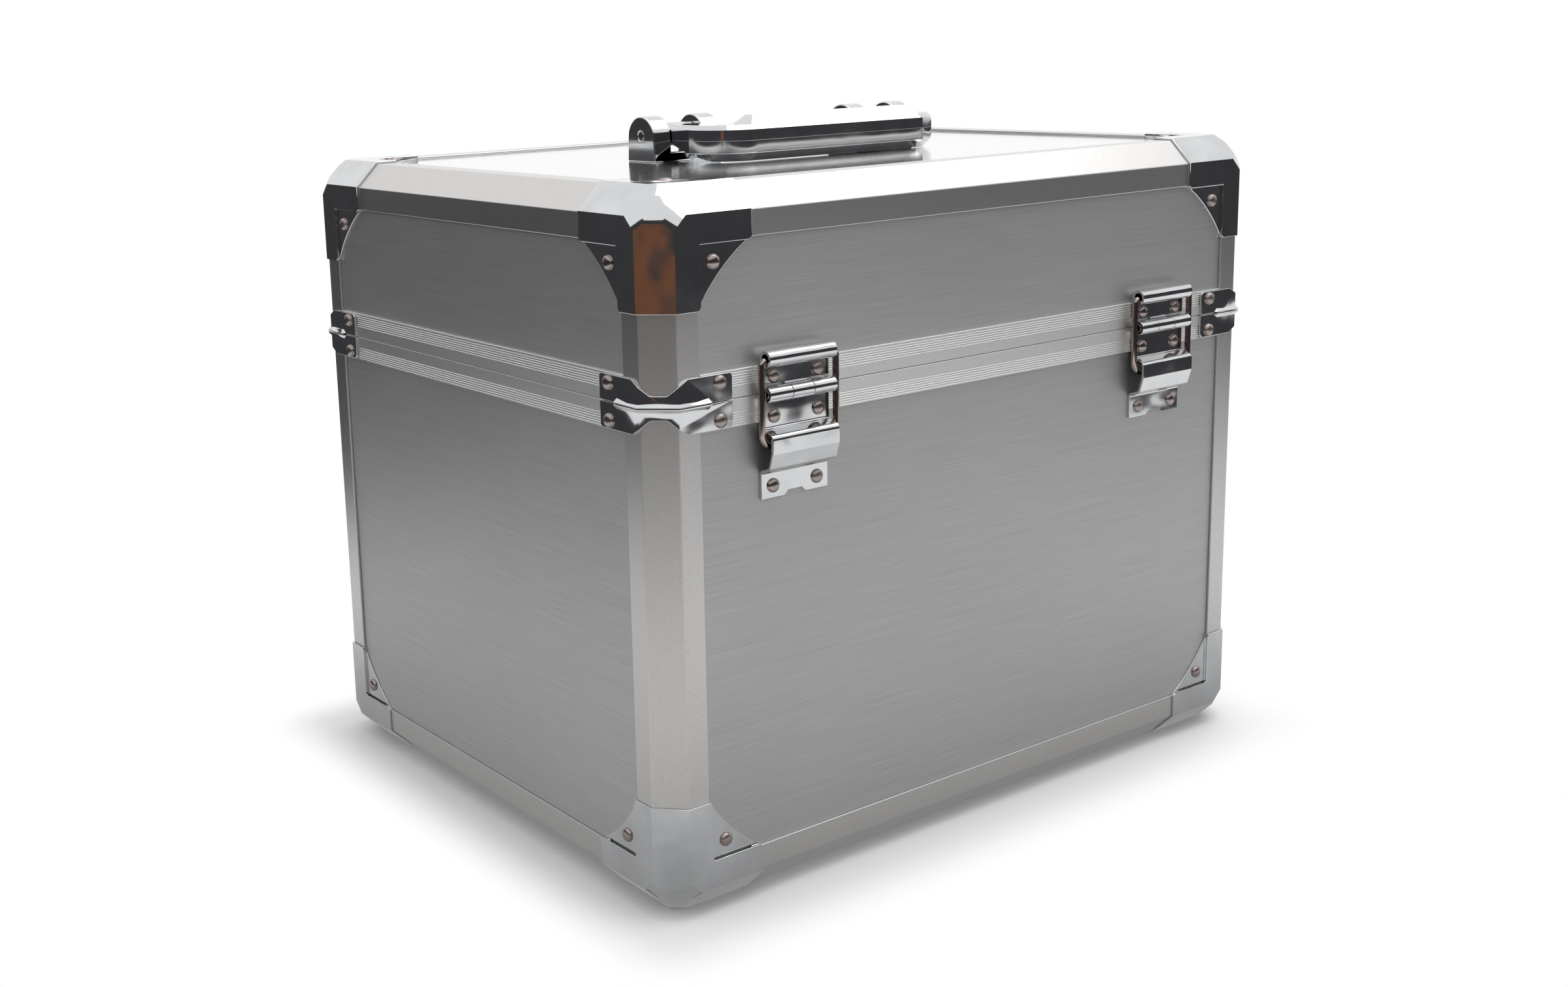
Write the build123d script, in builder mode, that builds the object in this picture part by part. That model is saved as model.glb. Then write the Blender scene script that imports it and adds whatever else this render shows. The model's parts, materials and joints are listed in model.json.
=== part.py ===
from build123d import *
import os
from math import atan2, cos, degrees, hypot, radians, sin, sqrt

os.makedirs("parts", exist_ok=True)

# A radio transmitter case: boards held in bevelled aluminium extrusions, with stamped steel
# corner hardware. All sizes are in millimetres. X runs along its length, the hinges are on its
# +Y face and the latches on its -Y face. Z is 0 on the surface that it stands on.

# Case
CASE_LENGTH = 340.0
CASE_DEPTH = 269.0
CASE_TOP = 280.0
LID_HEIGHT = 79.1
SEAM_GAP = 0.3

# Corner extrusions, and the boards in their slots
BEVEL = 10.0
STRIP = 10.0
PROFILE_WALL = 1.2
SLOT_WALL = 1.0
BOARD = 4.0
BOARD_PLAY = 0.2
BOARD_INSET = 1.4
END_GAP = 0.2

# Ribbed valances either side of the seam
VALANCE_HEIGHT = 10.8
VALANCE_CHAMBER = 3.2
RIB_COUNT = 6
RIB_PITCH = 0.95
GROOVE_WIDTH = 0.45
GROOVE_DEPTH = 0.35
TONGUE_RISE = 3.0
TONGUE_WALL = 1.0
TONGUE_GAP = 0.6

# Corner caps
CAP_ARM = 45.0
CAP_WALL = 0.9
BALL_INSET = 20.0
BALL_EASE = 0.14
EAR_MIDDLE = 31.0
EAR_RIVET = 27.5
EAR_SLOT = 0.7
EAR_SLOT_END = 4.0

# Corner clips at the seam
CLIP_LEG = 34.2
CLIP_SHEET = 1.0
CLIP_HEIGHT = 10.2
CLIP_CORNER = 1.6
CLIP_RIVET_IN = 28.5
CLIP_RIVET_UP = 7.2
LIP_LEG = 26.0
LIP_OUT = 1.3
LIP_RISE = 2.0
LIP_EDGE = 0.5
SCALLOP_DEPTH = 5.8
SCALLOP_FLOOR = 6.4
SCALLOP_MOUTH = 20.8
SCALLOP_ROUND = 2.5

# Rivets
RIVET_RADIUS = 2.8
RIVET_HEIGHT = 1.6
RIVET_CROWN = 1.5
RIVET_SIDES = 8
FLUSH_RIVET_HEIGHT = 0.9

# Pins, and the bores that they turn in
PIN_PLAY = 0.05
PIN_SIDES = 16

# Hinges, each with a wire ring that stays the lid
HARDWARE_INSET = 64.5
HARDWARE_REACH = 8.0
LEAF_SHEET = 1.2
SHEET_STEP = 0.8
SHEET_BEND = 1.0
LEAF_WIDTH = 33.0
LEAF_RIVET_X = 10.9
LEAF_RIVET_UP = 6.4
LEAF_RIVET_DOWN = 8.9
HINGE_PIN_RADIUS = 1.75
HINGE_FACE_GAP = 0.4
KNUCKLE_GAP = 0.3
MIDDLE_KNUCKLE = 10.8
HUMP_REACH = 7.3
HUMP_TOP = 14.6
HUMP_SHOULDER = 22.0
HUMP_BOTTOM = 30.4
HUMP_ROUND = 1.6
HUMP_SLOPE_IN = 2.0
HUMP_SLOPE_RISE = 2.0
FOOT_RIVET_DOWN = 36.1
FOOT_BELOW_RIVET = 4.8
FOOT_NOTCH = 10.5
FOOT_NOTCH_DEPTH = 1.8
EYE_UP = 13.4
EYE_BORE_RADIUS = 2.0

# Rings
RING_WIRE_RADIUS = 1.3
WIRE_SIDES = 8
RING_GAP = 34.0
RING_SEAT = 0.1
RING_DROP = 32.7
RING_TOP_BEND = 2.0
RING_BOTTOM_BEND = 5.0
BEND_PIECES = 3

# Latches
STRIKE_LEDGE_UP = 3.2
STRIKE_LEDGE_OUT = 3.3
STRIKE_TOP = 24.0
STRIKE_RIVET_UP = 18.5
LATCH_PLATE_TOP = 2.5
LATCH_PLATE_BOTTOM = 49.5
LATCH_RIVET_TOP = 7.2
LATCH_RIVET_BOTTOM = 45.0
LATCH_EAR_X = 12.4
LATCH_EAR_RADIUS = 2.5
LATCH_PIVOT_OUT = 3.6
LATCH_PIVOT_DOWN = 16.4
LATCH_PIN_RADIUS = 1.3
LEVER_SHEET = 1.2
LEVER_PLAY = 0.3
LEVER_OUT = 7.6
LEVER_TOP_UP = 2.0
LEVER_BOTTOM = 41.0
LEVER_LIP = 5.0
LEVER_LIP_BEND = 3.0
LEVER_FLANGE_BOTTOM = 33.0
LEVER_FLANGE_IN = 2.2
LEVER_FLANGE_EASE = 0.8
BAIL_PIVOT_DOWN = 7.0
BAIL_WIRE_RADIUS = 1.3
BAIL_GAP = 33.6
BAIL_LENGTH = 28.9
BAIL_BEND = 4.0
BAIL_END_BEND = 2.0
BAIL_END_CLEAR = 0.2

# Handle and its brackets
BRACKET_X = 58.6
BRACKET_GAP = 18.0
BRACKET_EAR = 9.3
BRACKET_DEPTH = 20.4
BRACKET_SHOULDER_DEPTH = 18.8
BRACKET_SHOULDER_UP = 11.5
BRACKET_RISE = 18.5
BRACKET_WEB_UP = 3.0
HANDLE_PIVOT_UP = 10.0
HANDLE_PIN_RADIUS = 2.0
HANDLE_SIDE_PLAY = 0.4
HANDLE_REACH = 44.5
GRIP_WIDTH = 16.5
GRIP_OUTER_BEND = 20.0
GRIP_INNER_BEND = 13.0
HANDLE_KNUCKLE = 5.2
HANDLE_ARM_UP = 4.6
HANDLE_SEAM_UP = 8.0
GRIP_LIFT = 0.3
GRIP_TOP_BEVEL = 2.0
GRIP_BOTTOM_BEVEL = 3.6
GRIP_CREST_UP = 3.8
GRIP_CREST_SLOPE = 45.0
GRIP_CREST_LENGTH = 98.0
ARM_TAPER_START = 8.0
ARM_TAPER_END = 31.0
ARM_TAPER_DEPTH = 1.2

# Foam
FOAM_GAP = 0.2
FOAM_ROUND = 8.0
FOAM_BELOW_SEAM = 11.0
FOAM_FLOOR = 34.0
POCKET_LENGTH = 236.0
POCKET_WIDTH = 100.0
POCKET_DIVIDER = 18.0
POCKET_ROUND = 14.0
LID_FOAM = 18.0

# Worked out from the sizes above
half_length = CASE_LENGTH / 2
half_depth = CASE_DEPTH / 2
seam_z = CASE_TOP - LID_HEIGHT
hardware_x = half_length - HARDWARE_INSET
foot_z = CAP_WALL
leg = BEVEL + STRIP
slot = BOARD + BOARD_PLAY
inner_face = PROFILE_WALL + slot + SLOT_WALL
board_edge = BEVEL + BOARD_INSET
bevel_foot = BEVEL + PROFILE_WALL * (sqrt(2) - 1) - PROFILE_WALL
ear_level = CAP_WALL - PROFILE_WALL
half_gap = SEAM_GAP / 2
lid_top_face = CASE_TOP - PROFILE_WALL
mid_z = (foot_z + CASE_TOP) / 2

# Each side's outward direction
SIDES = {"front": (0, -1), "back": (0, 1), "left": (-1, 0), "right": (1, 0)}
CORNERS = {
    "front_left": (-1, -1),
    "front_right": (1, -1),
    "back_left": (-1, 1),
    "back_right": (1, 1),
}
HANDS = {"left": -1, "right": 1}


def save(piece, label):
    """Names a finished piece and writes it."""
    piece.part.label = label
    export_step(piece.part, f"parts/{label}.step")


def side_reach(side):
    """How far a side's outer face is from the middle of the case."""
    return half_length if SIDES[side][0] else half_depth


def side_half_run(side):
    """Half the length of a side, corner to corner."""
    return half_depth if SIDES[side][0] else half_length


def side_point(side, depth, z):
    """The middle of a side, that far inside its outer face."""
    out_x, out_y = SIDES[side]
    reach = side_reach(side) - depth
    return (out_x * reach, out_y * reach, z)


def side_face(side, depth, z):
    """The plane of a side, facing outwards with its Y up."""
    out_x, out_y = SIDES[side]
    return Plane(side_point(side, depth, z), x_dir=(-out_y, out_x, 0), z_dir=(out_x, out_y, 0))


def across_run(origin, inward, away):
    """The plane across a straight run: X points into the case and Y away from the edge."""
    return Plane(origin, x_dir=inward, z_dir=Vector(*inward).cross(Vector(*away)))


def across_side(side, z, away):
    """The plane across a bar along a side, at its middle."""
    out_x, out_y = SIDES[side]
    return across_run(side_point(side, 0, z), (-out_x, -out_y, 0), (0, 0, away))


def hardware_plane(x, out):
    """The plane across a hinge (out is 1) or a latch (out is -1): X points out and Y up, from the seam."""
    return Plane((x, out * half_depth, seam_z), x_dir=(0, out, 0), z_dir=(out, 0, 0))


# Cross-section of the corner extrusions: its corner is at the origin, its faces along X and Y.
# A bevelled outer wall, and inside it an angle that leaves a slot for each board.
with BuildSketch() as extrusion_section:
    with BuildLine():
        Polyline(
            (leg, 0),
            (BEVEL, 0),
            (0, BEVEL),
            (0, leg),
            (PROFILE_WALL, leg),
            (PROFILE_WALL, bevel_foot + PROFILE_WALL),
            (bevel_foot + PROFILE_WALL, PROFILE_WALL),
            (leg, PROFILE_WALL),
            close=True,
        )
    make_face()
    with BuildLine():
        angle = inner_face - SLOT_WALL
        Polyline(
            (leg, angle),
            (angle, angle),
            (angle, leg),
            (inner_face, leg),
            (inner_face, inner_face),
            (leg, inner_face),
            close=True,
        )
    make_face()


def extrusions(label, runs):
    """Straight corner extrusions, each given by its plane and half its length."""
    with BuildPart() as bars:
        for plane, half_run in runs:
            with BuildSketch(plane):
                add(extrusion_section.sketch)
            extrude(amount=half_run, both=True)
    save(bars, label)


def edge_runs(z, away):
    """The four extrusions round the bottom or the top."""
    return [
        (across_side(side, z, away), side_half_run(side) - leg - END_GAP)
        for side in SIDES
    ]


def upright_runs(low, high):
    """The four upright extrusions from one height to another."""
    return [
        (
            across_run((sx * half_length, sy * half_depth, (low + high) / 2), (-sx, 0, 0), (0, -sy, 0)),
            (high - low) / 2,
        )
        for sx, sy in CORNERS.values()
    ]


extrusions("base_bottom_profiles", edge_runs(foot_z, 1))
extrusions("lid_top_profiles", edge_runs(CASE_TOP, -1))
extrusions("base_upright_profiles", upright_runs(foot_z + leg + END_GAP, seam_z - half_gap))
extrusions("lid_upright_profiles", upright_runs(seam_z + half_gap, CASE_TOP - leg - END_GAP))


# Cross-section of a valance: X is the depth into the case and Y the distance from the seam.
# The boards stand in its slot, and fine grooves leave the ribs on its outer face.
def valance_section(tongue):
    """The base's valance has a tongue that stands inside the lid's."""
    chamber_top = VALANCE_CHAMBER + SLOT_WALL
    with BuildSketch() as section:
        with Locations((0, half_gap)):
            Rectangle(PROFILE_WALL, VALANCE_HEIGHT - half_gap, align=(Align.MIN, Align.MIN))
            Rectangle(inner_face, SLOT_WALL, align=(Align.MIN, Align.MIN))
        with Locations((inner_face - SLOT_WALL, half_gap)):
            Rectangle(SLOT_WALL, VALANCE_HEIGHT - half_gap, align=(Align.MIN, Align.MIN))
        with Locations((0, VALANCE_CHAMBER)):
            Rectangle(inner_face, chamber_top - VALANCE_CHAMBER, align=(Align.MIN, Align.MIN))
        first = VALANCE_HEIGHT - RIB_PITCH
        with Locations(*[(0, first - i * RIB_PITCH) for i in range(RIB_COUNT)]):
            Rectangle(GROOVE_DEPTH, GROOVE_WIDTH, align=(Align.MIN, Align.CENTER), mode=Mode.SUBTRACT)
        if tongue:
            with Locations((inner_face, half_gap)):
                Rectangle(TONGUE_GAP + TONGUE_WALL, SLOT_WALL, align=(Align.MIN, Align.MIN))
            with Locations((inner_face + TONGUE_GAP, -TONGUE_RISE)):
                Rectangle(TONGUE_WALL, TONGUE_RISE + half_gap + SLOT_WALL, align=(Align.MIN, Align.MIN))
    return section.sketch


def valance(label, section, away):
    """Four bars round the seam, between the upright extrusions."""
    with BuildPart() as bars:
        for side in SIDES:
            with BuildSketch(across_side(side, seam_z, away)):
                add(section)
            extrude(amount=side_half_run(side) - leg - END_GAP, both=True)
    save(bars, label)


valance("base_valance", valance_section(tongue=True), -1)
valance("lid_valance", valance_section(tongue=False), 1)


def board(label, plane, width, height):
    """A flat board with its outer face on the plane."""
    with BuildPart() as piece:
        with BuildSketch(plane):
            Rectangle(width, height)
        extrude(amount=-BOARD)
    save(piece, label)


seam_clear = VALANCE_CHAMBER + SLOT_WALL + BOARD_PLAY
base_low = foot_z + board_edge
base_high = seam_z - seam_clear
lid_low = seam_z + seam_clear
lid_high = CASE_TOP - board_edge
for side in SIDES:
    width = 2 * (side_half_run(side) - board_edge)
    base_face = side_face(side, PROFILE_WALL, (base_low + base_high) / 2)
    board(f"base_panel_{side}", base_face, width, base_high - base_low)
    lid_face = side_face(side, PROFILE_WALL, (lid_low + lid_high) / 2)
    board(f"lid_panel_{side}", lid_face, width, lid_high - lid_low)
deck = (CASE_LENGTH - 2 * board_edge, CASE_DEPTH - 2 * board_edge)
board("lid_panel_top", Plane.XY.offset(lid_top_face), *deck)
board("base_panel_bottom", Plane.XY.offset(foot_z + PROFILE_WALL + BOARD), *deck)


# Corner caps. The form is drawn for the corner at +X +Y on top and mirrored to the others.
cap_corner = Vector(half_length, half_depth, CASE_TOP)
ball_centre = cap_corner - Vector(BALL_INSET, BALL_INSET, BALL_INSET)
ball_radius = hypot(BALL_INSET, BALL_INSET - BEVEL) + BALL_EASE
BALL_FLATS = [(1, 1, 1), (2, 2, 1), (2, 1, 2), (1, 2, 2), (2, 1, 1), (1, 2, 1), (1, 1, 2)]


def corner_block(out, size):
    """A block with three bevels, standing that far out of the case. They meet in a ball, drawn in flats."""
    tip = cap_corner + Vector(out, out, out)
    with BuildPart() as block:
        with Locations(tip):
            Box(size + out, size + out, size + out, align=(Align.MAX, Align.MAX, Align.MAX))
        meeting = [edge for edge in block.edges() if (edge @ 0 - tip).length < 1e-6 or (edge @ 1 - tip).length < 1e-6]
        chamfer(meeting, BEVEL + out * (2 - sqrt(2)))
        for facing in BALL_FLATS:
            touch = ball_centre + Vector(*facing).normalized() * (ball_radius + out)
            split(bisect_by=Plane(touch, z_dir=facing), keep=Keep.BOTTOM)
    return block.part


def cap_faces():
    """The three faces at the corner, facing outwards, with X and Y running in along two edges."""
    inward = [(-1, 0, 0), (0, -1, 0), (0, 0, -1)]
    outward = [(0, 0, 1), (1, 0, 0), (0, 1, 0)]
    return [Plane(cap_corner, x_dir=x, z_dir=z) for x, z in zip(inward, outward)]


def cap_form(slotted):
    """A stamped cap: three bevelled arms, and between them a sunk ear on each face.
    In the base's caps a slot runs beside each ear's level fold."""
    with BuildPart() as cap:
        add(corner_block(CAP_WALL, CAP_ARM))
        add(corner_block(0, CAP_ARM + 1), mode=Mode.SUBTRACT)
        for face in cap_faces():
            with BuildSketch(face):
                with Locations((leg, leg)):
                    Rectangle(CAP_ARM, CAP_ARM, align=(Align.MIN, Align.MIN))
            extrude(amount=CAP_WALL, both=True, mode=Mode.SUBTRACT)
            with BuildSketch(face.offset(-PROFILE_WALL)):
                with BuildLine():
                    ThreePointArc((CAP_ARM, leg), (EAR_MIDDLE, EAR_MIDDLE), (leg, CAP_ARM))
                    Polyline((leg, CAP_ARM), (leg, leg), (CAP_ARM, leg))
                make_face()
            extrude(amount=PROFILE_WALL + CAP_WALL)
            with BuildSketch(face.offset(ear_level)):
                with Locations((leg + CAP_WALL, leg + CAP_WALL)):
                    Rectangle(CAP_ARM, CAP_ARM, align=(Align.MIN, Align.MIN))
            extrude(amount=PROFILE_WALL + CAP_WALL, mode=Mode.SUBTRACT)
        if slotted:
            slot_length = CAP_ARM - leg - 2 * CAP_WALL - EAR_SLOT_END
            for side in ("right", "back"):
                run = side_half_run(side)
                hand = 1 if side == "right" else -1
                middle = hand * (run - leg - CAP_WALL - slot_length / 2)
                with BuildSketch(side_face(side, 0, CASE_TOP - leg - CAP_WALL - EAR_SLOT / 2)):
                    with Locations((middle, 0)):
                        Rectangle(slot_length, EAR_SLOT)
                extrude(amount=-PROFILE_WALL, mode=Mode.SUBTRACT)
    return cap.part


def mirrored(label, form, sx, sy, flip_about=None):
    """A form drawn at +X +Y, moved to another corner by mirror images."""
    with BuildPart() as piece:
        add(form)
        if sx < 0:
            mirror(about=Plane.YZ, mode=Mode.REPLACE)
        if sy < 0:
            mirror(about=Plane.XZ, mode=Mode.REPLACE)
        if flip_about is not None:
            mirror(about=Plane.XY.offset(flip_about), mode=Mode.REPLACE)
    save(piece, label)


lid_cap = cap_form(slotted=False)
base_cap = cap_form(slotted=True)
for corner, (sx, sy) in CORNERS.items():
    mirrored(f"lid_cap_{corner}", lid_cap, sx, sy)
    mirrored(f"base_cap_{corner}", base_cap, sx, sy, flip_about=mid_z)


# Corner clips at the seam. The form is the upper clip at +X +Y.
def wrap(out, leg_length):
    """Plan points of a line that wraps the corner, that far out of the case."""
    turn = BEVEL - out * (sqrt(2) - 1)
    return [
        (half_length + out, half_depth - leg_length),
        (half_length + out, half_depth - turn),
        (half_length - turn, half_depth + out),
        (half_length - leg_length, half_depth + out),
    ]


with BuildPart() as clip_form:
    seam_plane = Plane.XY.offset(seam_z + half_gap)
    with BuildSketch(seam_plane):
        with BuildLine():
            Polyline(*wrap(CLIP_SHEET, CLIP_LEG), *reversed(wrap(0, CLIP_LEG)), close=True)
        make_face()
    extrude(amount=CLIP_HEIGHT)
    end_x = clip_form.edges().filter_by(Axis.Y).group_by(Axis.Z)[-1].sort_by(Axis.X)[0]
    end_y = clip_form.edges().filter_by(Axis.X).group_by(Axis.Z)[-1].sort_by(Axis.Y)[0]
    fillet([end_x, end_y], CLIP_CORNER)
    # The lip, bent outwards round the corner along the seam
    inner_corner = (half_length - LIP_LEG, half_depth - LIP_LEG)
    lip_slope = degrees(atan2(LIP_OUT, LIP_RISE - LIP_EDGE))
    for height, rise, slope in ((0, LIP_EDGE, 0), (LIP_EDGE, LIP_RISE - LIP_EDGE, lip_slope)):
        with BuildSketch(seam_plane.offset(height)):
            with BuildLine():
                lip_edge = wrap(CLIP_SHEET + LIP_OUT, LIP_LEG - 2 * LIP_OUT)
                feet = wrap(0, LIP_LEG)
                Polyline(feet[0], *lip_edge, feet[-1], inner_corner, close=True)
            make_face()
        extrude(amount=rise, taper=slope)
    with BuildSketch(seam_plane):
        with BuildLine():
            Polyline(*wrap(0, CLIP_LEG + 1), (half_length - CLIP_LEG - 1, half_depth - CLIP_LEG - 1), close=True)
        make_face()
    extrude(amount=CLIP_HEIGHT, mode=Mode.SUBTRACT)
    # The scallop over the bevel
    bevel_middle = (half_length - BEVEL / 2, half_depth - BEVEL / 2, seam_z + half_gap)
    scallop_slope = (SCALLOP_MOUTH - SCALLOP_FLOOR) / 2 / SCALLOP_DEPTH
    floor_up = CLIP_HEIGHT - SCALLOP_DEPTH
    mouth = SCALLOP_MOUTH / 2 + scallop_slope
    with BuildSketch(Plane(bevel_middle, x_dir=(-1, 1, 0), z_dir=(1, 1, 0))):
        with BuildLine():
            FilletPolyline(
                (-mouth, CLIP_HEIGHT + 1),
                (-SCALLOP_FLOOR / 2, floor_up),
                (SCALLOP_FLOOR / 2, floor_up),
                (mouth, CLIP_HEIGHT + 1),
                radius=SCALLOP_ROUND,
            )
            Line((mouth, CLIP_HEIGHT + 1), (-mouth, CLIP_HEIGHT + 1))
        make_face()
    extrude(amount=BEVEL, both=True, mode=Mode.SUBTRACT)

for corner, (sx, sy) in CORNERS.items():
    mirrored(f"lid_clip_{corner}", clip_form.part, sx, sy)
    mirrored(f"base_clip_{corner}", clip_form.part, sx, sy, flip_about=seam_z)


# Pins and bores are drawn with flats
def pin(radius):
    """The outline of a pin."""
    RegularPolygon(radius, PIN_SIDES)


def bore(radius, mode=Mode.SUBTRACT):
    """The outline of a bore, whose flats stand clear of a pin of that radius."""
    RegularPolygon(radius + PIN_PLAY, PIN_SIDES, major_radius=False, mode=mode)


# Hinges
knuckle_radius = HINGE_PIN_RADIUS + PIN_PLAY + LEAF_SHEET
hinge_out = knuckle_radius + HINGE_FACE_GAP
notch_height = knuckle_radius + KNUCKLE_GAP
half_leaf = LEAF_WIDTH / 2
half_middle = MIDDLE_KNUCKLE / 2
eye_radius = EYE_BORE_RADIUS + LEAF_SHEET
on_face = LEAF_SHEET / 2
on_board = LEAF_SHEET / 2 - PROFILE_WALL
foot_bottom = FOOT_RIVET_DOWN + FOOT_BELOW_RIVET
END_KNUCKLES = ((-half_leaf, -half_middle), (half_middle, half_leaf))
MID_KNUCKLE = ((-half_middle + KNUCKLE_GAP, half_middle - KNUCKLE_GAP),)


def hinge_lower_leaf(label, x):
    """Pressed plate with two knuckles, a hump that holds the ring's bottom leg, and a foot."""
    across = hardware_plane(x, 1)
    crest = HUMP_REACH - LEAF_SHEET / 2
    with BuildPart() as leaf:
        with BuildSketch(across):
            with BuildLine():
                FilletPolyline(
                    (on_face, -half_gap),
                    (on_face, -HUMP_TOP + LEAF_SHEET / 2),
                    (crest, -HUMP_TOP - LEAF_SHEET),
                    (crest, -HUMP_SHOULDER),
                    (crest - HUMP_SLOPE_IN, -HUMP_BOTTOM + HUMP_SLOPE_RISE),
                    (on_board, -HUMP_BOTTOM),
                    (on_board, -foot_bottom),
                    radius=HUMP_ROUND,
                )
            trace(line_width=LEAF_SHEET)
        extrude(amount=half_leaf, both=True)
        for start, stop in END_KNUCKLES:
            with BuildSketch(across.offset(start)):
                with Locations((hinge_out, 0)):
                    Circle(knuckle_radius)
                    bore(HINGE_PIN_RADIUS)
            extrude(amount=stop - start)
        back = side_face("back", 0, seam_z)
        with BuildSketch(back):
            with Locations((-x, 0)):
                Rectangle(MIDDLE_KNUCKLE, 2 * notch_height)
        extrude(amount=HARDWARE_REACH, mode=Mode.SUBTRACT)
        with BuildSketch(back):
            with BuildLine():
                half_notch = FOOT_NOTCH / 2
                Polyline(
                    (-x - half_notch, -foot_bottom),
                    (-x - half_notch + FOOT_NOTCH_DEPTH, -foot_bottom + FOOT_NOTCH_DEPTH),
                    (-x + half_notch - FOOT_NOTCH_DEPTH, -foot_bottom + FOOT_NOTCH_DEPTH),
                    (-x + half_notch, -foot_bottom),
                    close=True,
                )
            make_face()
        extrude(amount=2 * LEAF_SHEET, both=True, mode=Mode.SUBTRACT)
    save(leaf, label)


def hinge_upper_leaf(label, x):
    """Plate with the middle knuckle below and a rolled eye for the ring above."""
    across = hardware_plane(x, 1)
    with BuildPart() as leaf:
        with BuildSketch(across):
            with Locations((0, half_gap)):
                Rectangle(LEAF_SHEET, EYE_UP - half_gap, align=(Align.MIN, Align.MIN))
            with Locations((eye_radius, EYE_UP)):
                Circle(eye_radius)
                Circle(EYE_BORE_RADIUS, mode=Mode.SUBTRACT)
        extrude(amount=half_leaf, both=True)
        for start, stop in END_KNUCKLES:
            with BuildSketch(across.offset(start)):
                with Locations((0, half_gap)):
                    Rectangle(LEAF_SHEET, notch_height, align=(Align.MIN, Align.MIN))
            extrude(amount=stop - start, mode=Mode.SUBTRACT)
        for start, stop in MID_KNUCKLE:
            with BuildSketch(across.offset(start)):
                with Locations((hinge_out, 0)):
                    Circle(knuckle_radius)
                    bore(HINGE_PIN_RADIUS)
            extrude(amount=stop - start)
    save(leaf, label)


for hand, sx in HANDS.items():
    hinge_lower_leaf(f"hinge_lower_leaf_{hand}", sx * hardware_x)
    hinge_upper_leaf(f"hinge_upper_leaf_{hand}", sx * hardware_x)

with BuildPart() as hinge_pins:
    for sx in HANDS.values():
        with BuildSketch(hardware_plane(sx * hardware_x, 1)):
            with Locations((hinge_out, 0)):
                pin(HINGE_PIN_RADIUS)
        extrude(amount=half_leaf, both=True)
save(hinge_pins, "hinge_pins")


# Rings of bent wire. The top leg rests in the upper leaf's eye, the bottom leg in the hump.
ring_half = RING_GAP / 2 + RING_WIRE_RADIUS
ring_out = eye_radius
ring_top = EYE_UP - (EYE_BORE_RADIUS - RING_WIRE_RADIUS - RING_SEAT)
ring_bottom = ring_top - RING_DROP


def bend(corner, start, end, radius):
    """Points of a right-angled bend in straight pieces. Its directions point back to its start and on to its end."""
    turns = [90 * i / BEND_PIECES for i in range(BEND_PIECES + 1)]
    return [
        (
            corner[0] + radius * (start[0] * (1 - sin(radians(t))) + end[0] * (1 - cos(radians(t)))),
            corner[1] + radius * (start[1] * (1 - sin(radians(t))) + end[1] * (1 - cos(radians(t)))),
        )
        for t in turns
    ]


def wire_loop(label, plane, points, radius):
    """Half a wire on its plane, swept along its points, and mirrored about the plane's Y."""
    with BuildPart() as wire:
        with BuildLine(plane) as path:
            Polyline(*points)
        with BuildSketch(Plane(path.line @ 0, z_dir=path.line % 0)):
            RegularPolygon(radius, WIRE_SIDES)
        sweep(path=path.line, transition=Transition.RIGHT)
        mirror(about=Plane(plane.origin, z_dir=plane.x_dir))
    save(wire, label)


def ring(label, x):
    """An upright ring, from the middle of its top to the middle of its bottom."""
    centre = Plane((x, half_depth + ring_out, seam_z), x_dir=(-1, 0, 0), z_dir=(0, 1, 0))
    points = [
        (0, ring_top),
        *bend((ring_half, ring_top), (-1, 0), (0, -1), RING_TOP_BEND),
        *bend((ring_half, ring_bottom), (0, 1), (-1, 0), RING_BOTTOM_BEND),
        (0, ring_bottom),
    ]
    wire_loop(label, centre, points, RING_WIRE_RADIUS)


for hand, sx in HANDS.items():
    ring(f"hinge_ring_{hand}", sx * hardware_x)


# Latches
lever_half = LATCH_EAR_X + LEAF_SHEET + LEVER_PLAY + LEVER_SHEET
bail_half = BAIL_GAP / 2 + BAIL_WIRE_RADIUS
bail_pivot = (LATCH_PIVOT_OUT, -LATCH_PIVOT_DOWN - BAIL_PIVOT_DOWN)


def latch_strike(label, x):
    """Plate on the lid with a ledge for the bail."""
    with BuildPart() as strike:
        with BuildSketch(hardware_plane(x, -1)):
            with BuildLine():
                FilletPolyline(
                    (STRIKE_LEDGE_OUT, STRIKE_LEDGE_UP),
                    (on_face, STRIKE_LEDGE_UP),
                    (on_face, VALANCE_HEIGHT + SHEET_STEP),
                    (on_board, VALANCE_HEIGHT + SHEET_STEP + PROFILE_WALL),
                    (on_board, STRIKE_TOP),
                    radius=SHEET_BEND,
                )
            trace(line_width=LEAF_SHEET)
        extrude(amount=half_leaf, both=True)
        corners = strike.edges().filter_by(Axis.Y).group_by(Axis.Z)[-1]
        chamfer(corners, FOOT_NOTCH_DEPTH)
    save(strike, label)


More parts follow.
